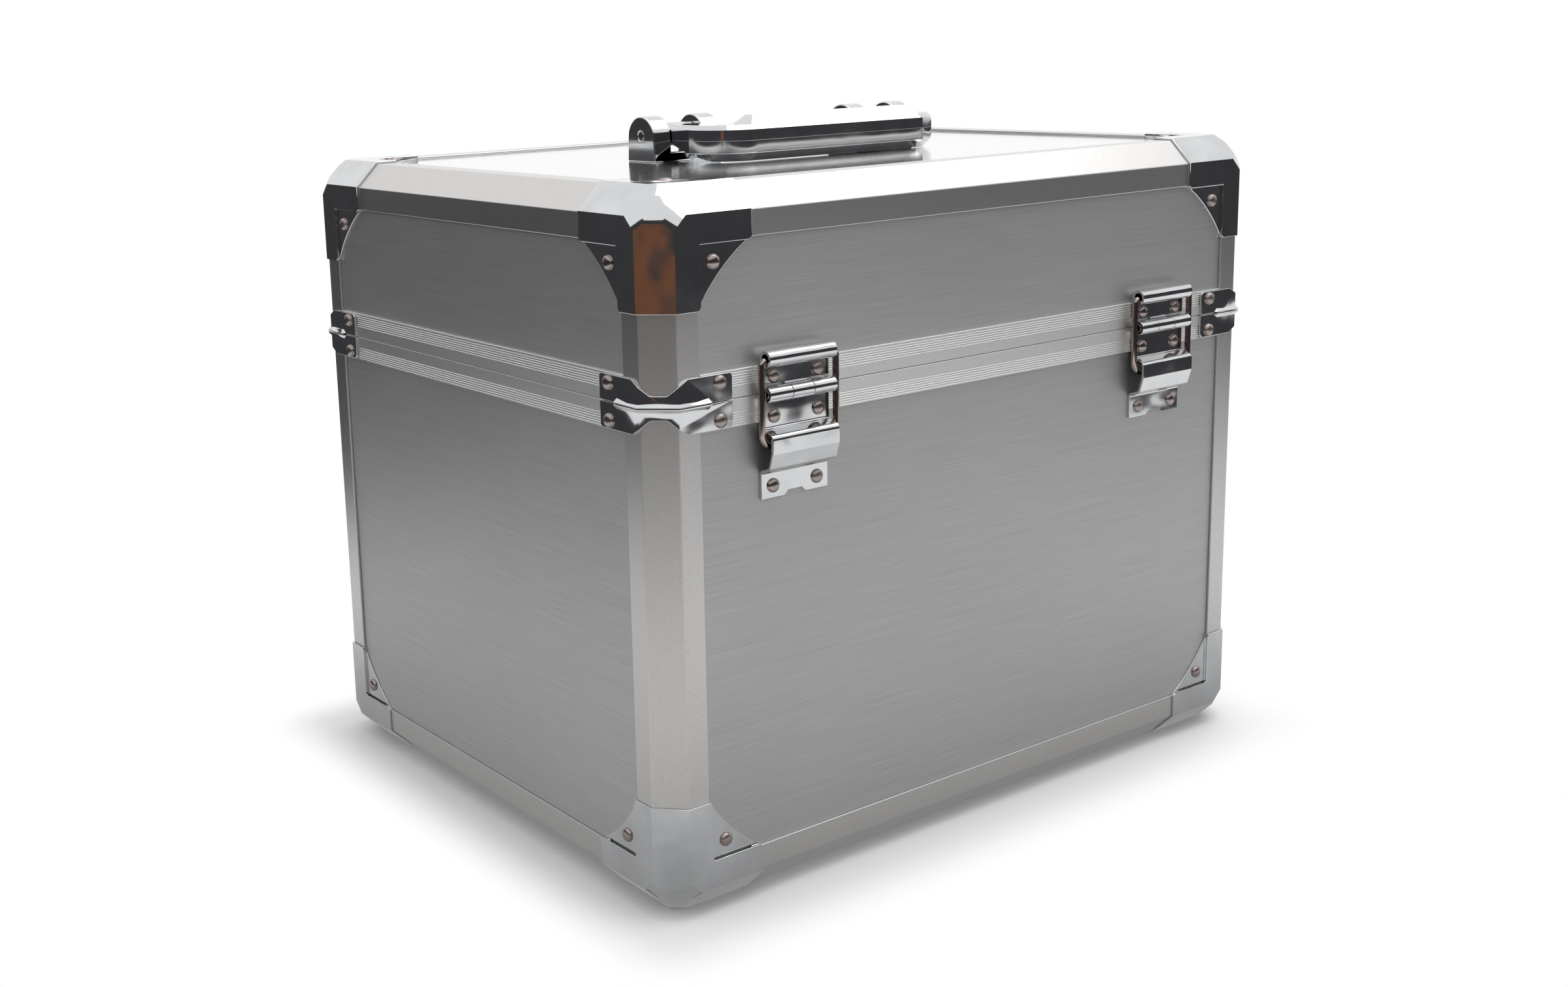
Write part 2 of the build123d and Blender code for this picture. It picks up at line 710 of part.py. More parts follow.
def latch_plate(label, x):
    """Plate on the base, with two ears that carry the lever's pin."""
    across = hardware_plane(x, -1)
    with BuildPart() as plate:
        with BuildSketch(across):
            with BuildLine():
                FilletPolyline(
                    (on_face, -LATCH_PLATE_TOP),
                    (on_face, -VALANCE_HEIGHT - SHEET_STEP),
                    (on_board, -VALANCE_HEIGHT - SHEET_STEP - PROFILE_WALL),
                    (on_board, -LATCH_PLATE_BOTTOM),
                    radius=SHEET_BEND,
                )
            trace(line_width=LEAF_SHEET)
        extrude(amount=half_leaf, both=True)
        corners = plate.edges().filter_by(Axis.Y).group_by(Axis.Z)[0]
        chamfer(corners, FOOT_NOTCH_DEPTH)
        for start in (-LATCH_EAR_X - LEAF_SHEET, LATCH_EAR_X):
            with BuildSketch(across.offset(start)):
                with Locations((LATCH_PIVOT_OUT, -LATCH_PIVOT_DOWN)):
                    Circle(LATCH_EAR_RADIUS)
                with Locations((-PROFILE_WALL + LEAF_SHEET / 2, -LATCH_PIVOT_DOWN)):
                    Rectangle(
                        LATCH_PIVOT_OUT + PROFILE_WALL - LEAF_SHEET / 2,
                        2 * LATCH_EAR_RADIUS,
                        align=(Align.MIN, Align.CENTER),
                    )
                with Locations((LATCH_PIVOT_OUT, -LATCH_PIVOT_DOWN)):
                    bore(LATCH_PIN_RADIUS)
            extrude(amount=LEAF_SHEET)
    save(plate, label)


def latch_lever(label, x):
    """Pressed channel: a front plate with a turned-out lip, and a flange down each side."""
    across = hardware_plane(x, -1)
    plate_out = LEVER_OUT - LEVER_SHEET / 2
    lever_top = -LATCH_PIVOT_DOWN + LEVER_TOP_UP
    with BuildPart() as lever:
        with BuildSketch(across):
            with BuildLine():
                FilletPolyline(
                    (plate_out, lever_top),
                    (plate_out, -LEVER_BOTTOM + LEVER_LIP),
                    (HARDWARE_REACH - LEVER_SHEET / 2, -LEVER_BOTTOM),
                    radius=LEVER_LIP_BEND,
                )
            trace(line_width=LEVER_SHEET)
        extrude(amount=lever_half, both=True)
        flange_in = LATCH_PIVOT_OUT - LEVER_FLANGE_IN
        for start in (-lever_half, lever_half - LEVER_SHEET):
            with BuildSketch(across.offset(start)):
                with BuildLine():
                    Polyline(
                        (LEVER_OUT, lever_top),
                        (flange_in + LEVER_FLANGE_EASE, lever_top),
                        (flange_in, lever_top - LEVER_TOP_UP),
                        (flange_in, bail_pivot[1] - LEVER_FLANGE_IN),
                        (LEVER_OUT - LEVER_SHEET, -LEVER_FLANGE_BOTTOM),
                        (LEVER_OUT, -LEVER_FLANGE_BOTTOM),
                        close=True,
                    )
                make_face()
                with Locations((LATCH_PIVOT_OUT, -LATCH_PIVOT_DOWN)):
                    bore(LATCH_PIN_RADIUS)
                with Locations(bail_pivot):
                    bore(BAIL_WIRE_RADIUS)
            extrude(amount=LEVER_SHEET)
    save(lever, label)


def latch_bail(label, x):
    """Bent wire loop that leans out, just clear of the strike's ledge. Its ends turn into the lever."""
    # The top leg's outer side is flush with the furthest reach of the hardware.
    lean_out = HARDWARE_REACH - BAIL_WIRE_RADIUS - bail_pivot[0]
    rise = sqrt(BAIL_LENGTH**2 - lean_out**2)
    origin = (x, -half_depth - bail_pivot[0], seam_z + bail_pivot[1])
    sheet = Plane(origin, x_dir=(1, 0, 0), z_dir=(0, -rise, -lean_out))
    points = [
        (lever_half - LEVER_SHEET - BAIL_END_CLEAR, 0),
        *bend((bail_half, 0), (-1, 0), (0, 1), BAIL_END_BEND),
        *bend((bail_half, BAIL_LENGTH), (0, -1), (-1, 0), BAIL_BEND),
        (0, BAIL_LENGTH),
    ]
    wire_loop(label, sheet, points, BAIL_WIRE_RADIUS)


for hand, sx in HANDS.items():
    latch_strike(f"latch_strike_{hand}", sx * hardware_x)
    latch_plate(f"latch_plate_{hand}", sx * hardware_x)
    latch_lever(f"latch_lever_{hand}", sx * hardware_x)
    latch_bail(f"latch_bail_{hand}", sx * hardware_x)

with BuildPart() as latch_pins:
    for sx in HANDS.values():
        with BuildSketch(hardware_plane(sx * hardware_x, -1)):
            with Locations((LATCH_PIVOT_OUT, -LATCH_PIVOT_DOWN)):
                pin(LATCH_PIN_RADIUS)
        extrude(amount=lever_half, both=True)
save(latch_pins, "latch_pins")


# Handle, folded towards the hinges, and its two brackets
pivot_z = CASE_TOP + HANDLE_PIVOT_UP


# Arched side view of a bracket
with BuildSketch() as bracket_section:
    with BuildLine():
        foot = BRACKET_DEPTH / 2
        side = BRACKET_SHOULDER_DEPTH / 2
        shoulder = BRACKET_SHOULDER_UP + PROFILE_WALL
        Polyline((-side, shoulder), (-foot, 0), (foot, 0), (side, shoulder))
        ThreePointArc((side, shoulder), (0, BRACKET_RISE + PROFILE_WALL), (-side, shoulder))
    make_face()


def handle_bracket(label, x):
    """Two arched ears on a web, with a bore for the pivot pin."""
    half_bracket = BRACKET_GAP / 2 + BRACKET_EAR
    across = Plane((x, 0, lid_top_face), x_dir=(0, 1, 0), z_dir=(1, 0, 0))
    with BuildPart() as bracket:
        with BuildSketch(across):
            add(bracket_section.sketch)
        extrude(amount=half_bracket, both=True)
        with BuildSketch(Plane.XY.offset(CASE_TOP + BRACKET_WEB_UP)):
            with Locations((x, 0)):
                Rectangle(BRACKET_GAP, 2 * BRACKET_DEPTH)
        extrude(amount=BRACKET_RISE, mode=Mode.SUBTRACT)
        with BuildSketch(across):
            with Locations((0, HANDLE_PIVOT_UP + PROFILE_WALL)):
                bore(HANDLE_PIN_RADIUS, mode=Mode.ADD)
        extrude(amount=half_bracket, both=True, mode=Mode.SUBTRACT)
    save(bracket, label)


for hand, sx in HANDS.items():
    handle_bracket(f"handle_bracket_{hand}", sx * BRACKET_X)

with BuildPart() as handle_pins:
    for sx in HANDS.values():
        with BuildSketch(Plane((sx * BRACKET_X, 0, pivot_z), z_dir=(1, 0, 0))):
            pin(HANDLE_PIN_RADIUS)
        extrude(amount=BRACKET_GAP / 2 + BRACKET_EAR, both=True)
save(handle_pins, "handle_pins")

# Plan of the handle: a bow with two arms, from the pivots out to the grip
arm_out = BRACKET_X + BRACKET_GAP / 2 - HANDLE_SIDE_PLAY
arm_in = BRACKET_X - BRACKET_GAP / 2 + HANDLE_SIDE_PLAY
grip_in = HANDLE_REACH - GRIP_WIDTH
handle_seam = CASE_TOP + HANDLE_SEAM_UP
arm_top = pivot_z + HANDLE_ARM_UP
handle_bottom = lid_top_face + GRIP_LIFT
with BuildSketch() as handle_plan:
    with BuildLine():
        FilletPolyline(
            (arm_out, 0),
            (arm_out, HANDLE_REACH),
            (-arm_out, HANDLE_REACH),
            (-arm_out, 0),
            radius=GRIP_OUTER_BEND,
        )
        Line((-arm_out, 0), (-arm_in, 0))
        FilletPolyline(
            (-arm_in, 0),
            (-arm_in, grip_in),
            (arm_in, grip_in),
            (arm_in, 0),
            radius=GRIP_INNER_BEND,
        )
        Line((arm_in, 0), (arm_out, 0))
    make_face()

with BuildPart() as handle_upper_shell:
    with BuildSketch(Plane.XY.offset(handle_seam)):
        add(handle_plan.sketch)
    extrude(amount=arm_top - handle_seam)
    rim = handle_upper_shell.faces().sort_by(Axis.Z)[-1]
    chamfer(rim.edges().filter_by(lambda e: e.center().Y > 1), GRIP_TOP_BEVEL)
    # Raised crest along the grip
    with BuildSketch(Plane.XY.offset(arm_top)):
        with Locations((0, HANDLE_REACH - GRIP_WIDTH / 2)):
            Rectangle(GRIP_CREST_LENGTH, GRIP_WIDTH - 2 * GRIP_TOP_BEVEL)
    extrude(amount=GRIP_CREST_UP, taper=GRIP_CREST_SLOPE)
    # Knuckles round the pins
    for sx in HANDS.values():
        knuckle_mid = Plane((sx * BRACKET_X, 0, pivot_z), x_dir=(0, 1, 0), z_dir=(1, 0, 0))
        with BuildSketch(knuckle_mid):
            Circle(HANDLE_KNUCKLE)
        extrude(amount=BRACKET_GAP / 2 - HANDLE_SIDE_PLAY, both=True)
        with BuildSketch(knuckle_mid):
            bore(HANDLE_PIN_RADIUS, mode=Mode.ADD)
        extrude(amount=BRACKET_GAP / 2, both=True, mode=Mode.SUBTRACT)
save(handle_upper_shell, "handle_upper_shell")

with BuildPart() as handle_lower_shell:
    with BuildSketch(Plane.XY.offset(handle_bottom)):
        add(handle_plan.sketch)
    extrude(amount=handle_seam - handle_bottom)
    rim = handle_lower_shell.faces().sort_by(Axis.Z)[0]
    chamfer(rim.edges().filter_by(lambda e: e.center().Y > 1), GRIP_BOTTOM_BEVEL)
    # The arms thin out towards the pivots
    with BuildSketch(Plane((0, 0, CASE_TOP), x_dir=(0, 1, 0), z_dir=(1, 0, 0))):
        with BuildLine():
            Polyline(
                (ARM_TAPER_START, HANDLE_SEAM_UP),
                (ARM_TAPER_START, HANDLE_SEAM_UP - ARM_TAPER_DEPTH),
                (ARM_TAPER_END, handle_bottom - CASE_TOP),
                (HANDLE_REACH, handle_bottom - CASE_TOP),
                (HANDLE_REACH, HANDLE_SEAM_UP),
                close=True,
            )
        make_face()
    extrude(amount=arm_out, both=True, mode=Mode.INTERSECT)
save(handle_lower_shell, "handle_lower_shell")


# Foam. The base's block has two pockets, in which the transmitters stand upright.
foam_inset = inner_face + FOAM_GAP
foam_low = foot_z + PROFILE_WALL + BOARD
foam_high = seam_z - FOAM_BELOW_SEAM
with BuildPart() as base_foam:
    with BuildSketch(Plane.XY.offset(foam_low + BOARD_PLAY + SLOT_WALL)):
        RectangleRounded(CASE_LENGTH - 2 * foam_inset, CASE_DEPTH - 2 * foam_inset, FOAM_ROUND)
    extrude(amount=foam_high - foam_low - BOARD_PLAY - SLOT_WALL)
    with BuildSketch(Plane.XY.offset(foam_high)):
        pocket_y = (POCKET_WIDTH + POCKET_DIVIDER) / 2
        with Locations((0, pocket_y), (0, -pocket_y)):
            RectangleRounded(POCKET_LENGTH, POCKET_WIDTH, POCKET_ROUND)
    extrude(amount=-(foam_high - FOAM_FLOOR), mode=Mode.SUBTRACT)
save(base_foam, "base_foam")

lid_foam_top = CASE_TOP - inner_face
with BuildPart() as lid_foam:
    with BuildSketch(Plane.XY.offset(lid_foam_top)):
        RectangleRounded(CASE_LENGTH - 2 * foam_inset, CASE_DEPTH - 2 * foam_inset, FOAM_ROUND)
    extrude(amount=-LID_FOAM)
save(lid_foam, "lid_foam")


# Rivets. Each plane lies under a head and faces outwards. Their domes are drawn with few sides.
def rivet_form(height):
    """A head that narrows to its crown."""
    slope = degrees(atan2(RIVET_RADIUS - RIVET_CROWN, height))
    with BuildPart() as rivet:
        with BuildSketch():
            RegularPolygon(RIVET_RADIUS, RIVET_SIDES)
        extrude(amount=height, taper=slope)
    return rivet.part


domed = rivet_form(RIVET_HEIGHT)
flush = rivet_form(FLUSH_RIVET_HEIGHT)


def ear_rivets(face_z, up):
    """Places on the ears of four caps: on the two upright faces, then on the level one."""
    sides, level = [], []
    for sx, sy in CORNERS.values():
        z = face_z - up * EAR_RIVET
        x_in, y_in = half_length - EAR_RIVET, half_depth - EAR_RIVET
        sides.append(Plane((sx * (half_length + ear_level), sy * y_in, z), z_dir=(sx, 0, 0)))
        sides.append(Plane((sx * x_in, sy * (half_depth + ear_level), z), z_dir=(0, sy, 0)))
        level.append(Plane((sx * x_in, sy * y_in, face_z + up * ear_level), z_dir=(0, 0, up)))
    return sides, level


def clip_rivets(up):
    """Places on the legs of four clips."""
    z = seam_z + up * CLIP_RIVET_UP
    places = []
    for sx, sy in CORNERS.values():
        x_in, y_in = half_length - CLIP_RIVET_IN, half_depth - CLIP_RIVET_IN
        places.append(Plane((sx * (half_length + CLIP_SHEET), sy * y_in, z), z_dir=(sx, 0, 0)))
        places.append(Plane((sx * x_in, sy * (half_depth + CLIP_SHEET), z), z_dir=(0, sy, 0)))
    return places


def leaf_rivets(out, *rows):
    """Pairs of places on the hinges (out is 1) or the latches (out is -1), in rows given by depth and height."""
    return [
        Plane((sx * hardware_x + dx, out * (half_depth + depth), seam_z + up), z_dir=(0, out, 0))
        for sx in HANDS.values()
        for dx in (-LEAF_RIVET_X, LEAF_RIVET_X)
        for depth, up in rows
    ]


def rivets(label, domed_places, flush_places=()):
    """All the rivets of one half of the case."""
    with BuildPart() as heads:
        with Locations(*domed_places):
            add(domed)
        if flush_places:
            with Locations(*flush_places):
                add(flush)
    save(heads, label)


board_level = LEAF_SHEET - PROFILE_WALL
cap_sides, cap_level = ear_rivets(foot_z, -1)
base_hinges = leaf_rivets(1, (LEAF_SHEET, -LEAF_RIVET_DOWN), (board_level, -FOOT_RIVET_DOWN))
base_latches = leaf_rivets(-1, (LEAF_SHEET, -LATCH_RIVET_TOP), (board_level, -LATCH_RIVET_BOTTOM))
rivets("base_rivets", cap_sides + clip_rivets(-1) + base_hinges + base_latches, cap_level)
cap_sides, cap_level = ear_rivets(CASE_TOP, 1)
lid_hinges = leaf_rivets(1, (LEAF_SHEET, LEAF_RIVET_UP))
lid_strikes = leaf_rivets(-1, (board_level, STRIKE_RIVET_UP))
rivets("lid_rivets", cap_sides + cap_level + clip_rivets(1) + lid_hinges + lid_strikes)
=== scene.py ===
"""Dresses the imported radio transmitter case.

It gives the boards and extrusions their metal finishes, rounds the pressed hardware and the handle,
makes the domed rivets, the bent wires and the foam, and sets the stage."""

import json
from math import radians

import bmesh
import bpy
import numpy as np
from bpy.props import FloatProperty, FloatVectorProperty, IntProperty, PointerProperty
from bpy.types import Operator, Panel, PropertyGroup
from mathutils import Matrix, Vector


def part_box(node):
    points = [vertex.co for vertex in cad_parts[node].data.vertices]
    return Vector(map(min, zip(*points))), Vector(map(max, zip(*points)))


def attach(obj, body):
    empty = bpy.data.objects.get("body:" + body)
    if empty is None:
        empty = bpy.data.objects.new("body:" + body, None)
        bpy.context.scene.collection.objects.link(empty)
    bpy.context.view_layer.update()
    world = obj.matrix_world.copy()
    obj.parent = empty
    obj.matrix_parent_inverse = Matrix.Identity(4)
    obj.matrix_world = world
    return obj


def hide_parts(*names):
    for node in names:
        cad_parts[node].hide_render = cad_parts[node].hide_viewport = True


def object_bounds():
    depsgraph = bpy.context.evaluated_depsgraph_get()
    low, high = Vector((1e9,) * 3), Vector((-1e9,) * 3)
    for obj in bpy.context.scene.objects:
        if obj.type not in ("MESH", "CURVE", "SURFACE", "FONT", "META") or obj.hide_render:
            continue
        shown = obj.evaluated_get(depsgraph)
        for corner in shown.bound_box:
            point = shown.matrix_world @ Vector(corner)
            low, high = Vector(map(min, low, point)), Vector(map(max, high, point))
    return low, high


bl_info = {
    "name": "Radio Transmitter Case",
    "version": (1, 0, 0),
    "blender": (4, 5, 0),
    "location": "View3D > Sidebar > Case",
    "description": "Finishes, rivets, wires, foam and stage for a transmitter case",
    "category": "Object",
}

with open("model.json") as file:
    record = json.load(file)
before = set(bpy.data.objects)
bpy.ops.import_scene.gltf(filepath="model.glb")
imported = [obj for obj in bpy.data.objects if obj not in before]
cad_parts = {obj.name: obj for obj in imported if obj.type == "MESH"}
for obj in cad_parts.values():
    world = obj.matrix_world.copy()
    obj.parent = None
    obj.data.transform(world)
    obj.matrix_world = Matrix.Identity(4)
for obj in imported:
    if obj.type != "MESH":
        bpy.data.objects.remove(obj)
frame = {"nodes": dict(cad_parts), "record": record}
CAD_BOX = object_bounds()
NODES = frame["nodes"]
SLOTS = {row["node"]: row["material_slot"] for row in frame["record"]["subparts"]}
BODIES = {node: body for body, nodes in frame["record"]["behaviour"]["bodies"].items() for node in nodes}
MM = 0.001

# Metres within which points are merged, in a copy of a CAD node and in a new mesh
CAD_WELD = 2e-6
NEW_WELD = 1e-6

# Degrees between two faces: below FLAT they are joined, and above the others their edge is crisp
# (CURVED, FOLD_CRISP, RIVET_CRISP, PAD_CRISP) or rounded (CURVED, FOLD_ROUNDED)
FLAT = 0.5
CURVED = 28.0
FOLD_CRISP = 40.0
FOLD_ROUNDED = 50.0
RIVET_CRISP = 50.0
PAD_CRISP = 40.0

# Decimals of a metre to which a CAD node's points are compared
POINT_DECIMALS = 6

# The part of a noise's output that is spread over the range asked for
NOISE_LOW, NOISE_HIGH = 0.3, 0.7

# The scratches' noise has this share of its scale along the brushing, which makes them long
BRUSHING = 0.006

# Share of a rivet head's height that is its upright rim
RIM_SHARE = 0.15

# Steps in a wire's bend, and along a card bent round the case
BEND_STEPS = 8
ARC_STEPS = 97

# Degrees from +X towards +Y that each bent card covers
FULL_TURN = (-180, 180)
WALL_SPAN = (-72, 152)
WARM_SPAN = (32, 38)

# The camera's sensor in millimetres and its furthest distance in metres
SENSOR_WIDTH = 36
FURTHEST = 50


def length(name, description, default_mm):
    """A length property in metres, with its default given in millimetres."""
    return FloatProperty(
        name=name,
        description=description,
        default=default_mm * MM,
        subtype="DISTANCE",
        unit="LENGTH",
        precision=5,
    )


def bearing(name, description, default_degrees):
    """An angle property in radians, with its default given in degrees."""
    return FloatProperty(
        name=name,
        description=description,
        default=radians(default_degrees),
        subtype="ANGLE",
    )


def place(name, description, default):
    """A position property in metres."""
    return FloatVectorProperty(
        name=name,
        description=description,
        default=default,
        subtype="TRANSLATION",
        unit="LENGTH",
        precision=5,
    )


def colour(name, description, default):
    """A colour property."""
    return FloatVectorProperty(
        name=name,
        description=description,
        default=default,
        subtype="COLOR",
        min=0,
        max=1,
    )


def share(name, description, default):
    """A property between 0 and 1."""
    return FloatProperty(
        name=name,
        description=description,
        default=default,
        min=0,
        max=1,
        subtype="FACTOR",
    )


def steps(name, description, default, low, high):
    """A whole-number property."""
    return IntProperty(name=name, description=description, default=default, min=low, max=high)


class CaseFinishes(PropertyGroup):
    """Colours and roughness of the metals and the foam."""

    panel: colour("Panel", "Brushed aluminium skin of the boards", (0.61, 0.61, 0.61))
    panel_rough: share("Panel Roughness", "Roughness of the brushed skin", 0.54)
    top: colour("Top Panel", "Polished skin of the top board", (0.92, 0.92, 0.92))
    top_rough: share("Top Roughness", "Roughness of the polished skin", 0.13)
    profile: colour("Profile", "Satin anodised extrusions", (0.66, 0.65, 0.64))
    profile_rough: share("Profile Roughness", "Roughness of the extrusions", 0.38)
    valance: colour("Valance", "Ribbed bars at the seam", (0.96, 0.96, 0.955))
    valance_rough: share("Valance Roughness", "Roughness of the ribbed bars", 0.45)
    nickel: colour("Nickel", "Plated caps, clips and hinges", (0.66, 0.67, 0.68))
    nickel_rough: share("Nickel Roughness", "Roughness of the plating, the pins and the wires", 0.09)
    chrome: colour("Chrome", "Handle and its brackets", (0.70, 0.71, 0.72))
    chrome_rough: share("Chrome Roughness", "Roughness of the handle", 0.05)
    wire: colour("Wire", "Hinge rings and latch bails", (0.42, 0.34, 0.31))
    rivet: colour("Rivet", "Rivet heads and pins", (0.40, 0.34, 0.32))
    rivet_rough: share("Rivet Roughness", "Roughness of the rivet heads", 0.28)
    foam: colour("Foam", "Open-cell foam", (0.035, 0.035, 0.038))


class CaseEdges(PropertyGroup):
    """How far edges are rounded."""

    sheet: length("Sheet Edge", "Rounding on the edges of pressed sheet", 0.3)
    profile: length("Profile Edge", "Rounding on the corners of the extrusions", 0.35)
    rib: length("Rib Edge", "Rounding on the ribs at the seam", 0.08)
    handle: length("Handle Edge", "Rounding on the edges of the handle and its brackets", 0.7)
    foam: length("Foam Edge", "Rounding on the edges of the foam block", 2.5)
    segments: steps("Segments", "Steps across a rounded edge", 3, 1, 6)


class CaseRivets(PropertyGroup):
    """Steps of the domed heads."""

    around: steps("Around", "Steps round a head", 28, 8, 64)
    rings: steps("Rings", "Steps from rim to crown", 7, 3, 16)


class CaseWires(PropertyGroup):
    """Bends and steps of the bent wires."""

    ring_top_bend: length("Ring Top Bend", "Radius of a ring's upper bends", 2.0)
    ring_bottom_bend: length("Ring Bottom Bend", "Radius of a ring's lower bends", 5.0)
    bail_end_bend: length("Bail End Bend", "Radius of the bends into the lever", 2.0)
    bail_bend: length("Bail Bend", "Radius of a bail's upper bends", 4.0)
    bail_radius: length("Bail Radius", "Radius of the bails' wire", 1.3)
    around: steps("Around", "Steps round the wire", 20, 8, 48)


class CaseFoam(PropertyGroup):
    """Shape of the lid's convoluted pad."""

    pitch: length("Pitch", "Distance between the peaks of the lid's pad", 32.0)
    depth: length("Depth", "Depth of the valleys between the peaks", 9.0)
    border: length("Border", "Distance from the edge over which the relief fades", 6.0)
    border_level: share("Border Level", "Height of the edge between a peak and a valley", 0.25)
    step: length("Step", "Size of one face of the pad", 2.6)


class CaseStage(PropertyGroup):
    """Camera, floor and light."""

    camera_place: place("Camera Place", "Where the camera stands", (0.5338, 0.6392, 0.3322))
    azimuth: bearing("Azimuth", "0 looks along +Y", 144.79)
    elevation: bearing("Elevation", "Above the horizon", 11.7)
    roll: bearing("Roll", "Turn about the view axis", -1.81)
    lens: FloatProperty(name="Lens", description="Focal length in millimetres", default=40.84, min=1)
    shift_x: FloatProperty(name="Shift X", description="Sideways shift", default=0.0929)
    shift_y: FloatProperty(name="Shift Y", description="Upward shift", default=-0.0556)
    floor: colour("Floor", "Colour of the floor", (0.97, 0.97, 0.97))
    floor_half: length("Floor Half", "Half the side of the floor", 6000.0)
    shadow: length("Shadow", "Distance from the case at which the floor is seen plain white", 35.0)
    mirrored_shadow: length("Mirrored Shadow", "Distance at which it is reflected plain white", 220.0)
    # Painted shadow: level of the reflected floor's glow right beside the case
    mirrored_painted_shadow: share("Mirrored Dark", "Level of the reflected floor right beside the case", 0.35)
    fill: FloatProperty(name="Fill", description="Level of the light from all round", default=0.75, min=0)
    key: FloatProperty(
        name="Key",
        description="Power of the overhead softbox",
        default=10.5,
        min=0,
        subtype="POWER",
    )
    key_place: place("Key Place", "Where the softbox hangs", (-0.5, 0.2, 1.6))
    key_size: length("Key Size", "Side of the softbox", 1400.0)
    flag: colour("Flag", "Dark cloth and wall that only reflections show", (0.05, 0.05, 0.053))
    table: length("Table", "Radius of the white table, round which dark cloth lies", 770.0)
    table_x: length("Table X", "Middle of the table along X", -85.0)
    table_y: length("Table Y", "Middle of the table along Y", 150.0)
    wall: length("Wall", "Distance of the dark wall on the camera's side", 2200.0)
    wall_top: length("Wall Top", "Height of that wall", 1000.0)
    warm_out: length("Warm Card Out", "Distance of the warm card", 1400.0)
    warm_top: length("Warm Card Top", "Height of the warm card", 300.0)
    warm: colour("Warm Card", "Warm card below the camera, seen only in reflections", (0.20, 0.085, 0.045))


# Node helpers


def new_material(name):
    """An empty node material with a Principled shader; returns material, nodes, links and shader."""
    material = bpy.data.materials.new(name)
    material.use_nodes = True
    tree = material.node_tree
    return material, tree.nodes, tree.links, tree.nodes["Principled BSDF"]


def object_noise(nodes, links, scale, detail=2.0, stretch=(1, 1, 1)):
    """Noise on Object coordinates, with its cells stretched by 1 / stretch along each axis."""
    where = nodes.new("ShaderNodeTexCoord")
    mapping = nodes.new("ShaderNodeMapping")
    mapping.inputs["Scale"].default_value = stretch
    noise = nodes.new("ShaderNodeTexNoise")
    noise.inputs["Scale"].default_value = scale
    noise.inputs["Detail"].default_value = detail
    links.new(where.outputs["Object"], mapping.inputs["Vector"])
    links.new(mapping.outputs["Vector"], noise.inputs["Vector"])
    return noise


def remap(nodes, links, source, low, high):
    """A noise value spread from low to high."""
    spread = nodes.new("ShaderNodeMapRange")
    spread.inputs["From Min"].default_value = NOISE_LOW
    spread.inputs["From Max"].default_value = NOISE_HIGH
    spread.inputs["To Min"].default_value = low
    spread.inputs["To Max"].default_value = high
    links.new(source.outputs["Fac"], spread.inputs["Value"])
    return spread.outputs["Result"]


def tint(nodes, links, source, low, high):
    """A colour between two tones, by a noise value."""
    ramp = nodes.new("ShaderNodeValToRGB")
    for element, position, tone in zip(ramp.color_ramp.elements, (NOISE_LOW, NOISE_HIGH), (low, high)):
        element.position = position
        element.color = (*tone, 1)
    links.new(source.outputs["Fac"], ramp.inputs["Fac"])
    return ramp.outputs["Color"]


def bump(nodes, links, source, shader, strength, depth_mm):
    """Raises the surface by a noise value."""
    node = nodes.new("ShaderNodeBump")
    node.inputs["Strength"].default_value = strength
    node.inputs["Distance"].default_value = depth_mm * MM
    links.new(source.outputs["Fac"], node.inputs["Height"])
    links.new(node.outputs["Normal"], shader.inputs["Normal"])


def scaled(tone, factor):
    """A colour made lighter or darker."""
    return tuple(min(1.0, c * factor) for c in tone)


def math_step(nodes, links, operation, first, second):
    """One step of math on two outputs."""
    step = nodes.new("ShaderNodeMath")
    step.operation = operation
    links.new(first, step.inputs[0])
    links.new(second, step.inputs[1])
    return step.outputs["Value"]


def vector_step(nodes, links, operation, source, constant=None, output="Vector"):
    """One step of vector math on an output, with a constant as its second input."""
    step = nodes.new("ShaderNodeVectorMath")
    step.operation = operation
    links.new(source, step.inputs[0])
    if constant is not None:
        step.inputs[1].default_value = constant
    return step.outputs[output]


def ray_is(nodes, links, *kinds):
    """1 for rays of these kinds, and 0 for others: the highest of the kinds' own values."""
    path = nodes.new("ShaderNodeLightPath")
    total = path.outputs[kinds[0]]
    for kind in kinds[1:]:
        total = math_step(nodes, links, "MAXIMUM", total, path.outputs[kind])
    return total


def glow_over(nodes, links, surface, amount, strength=None):
    """A surface mixed with a white glow: surface * (1 - amount) + glow * amount."""
    glow = nodes.new("ShaderNodeEmission")
    if strength is not None:
        links.new(strength, glow.inputs["Strength"])
    mix = nodes.new("ShaderNodeMixShader")
    links.new(amount, mix.inputs[0])
    links.new(surface, mix.inputs[1])
    links.new(glow.outputs["Emission"], mix.inputs[2])
    return mix.outputs["Shader"]


# Materials


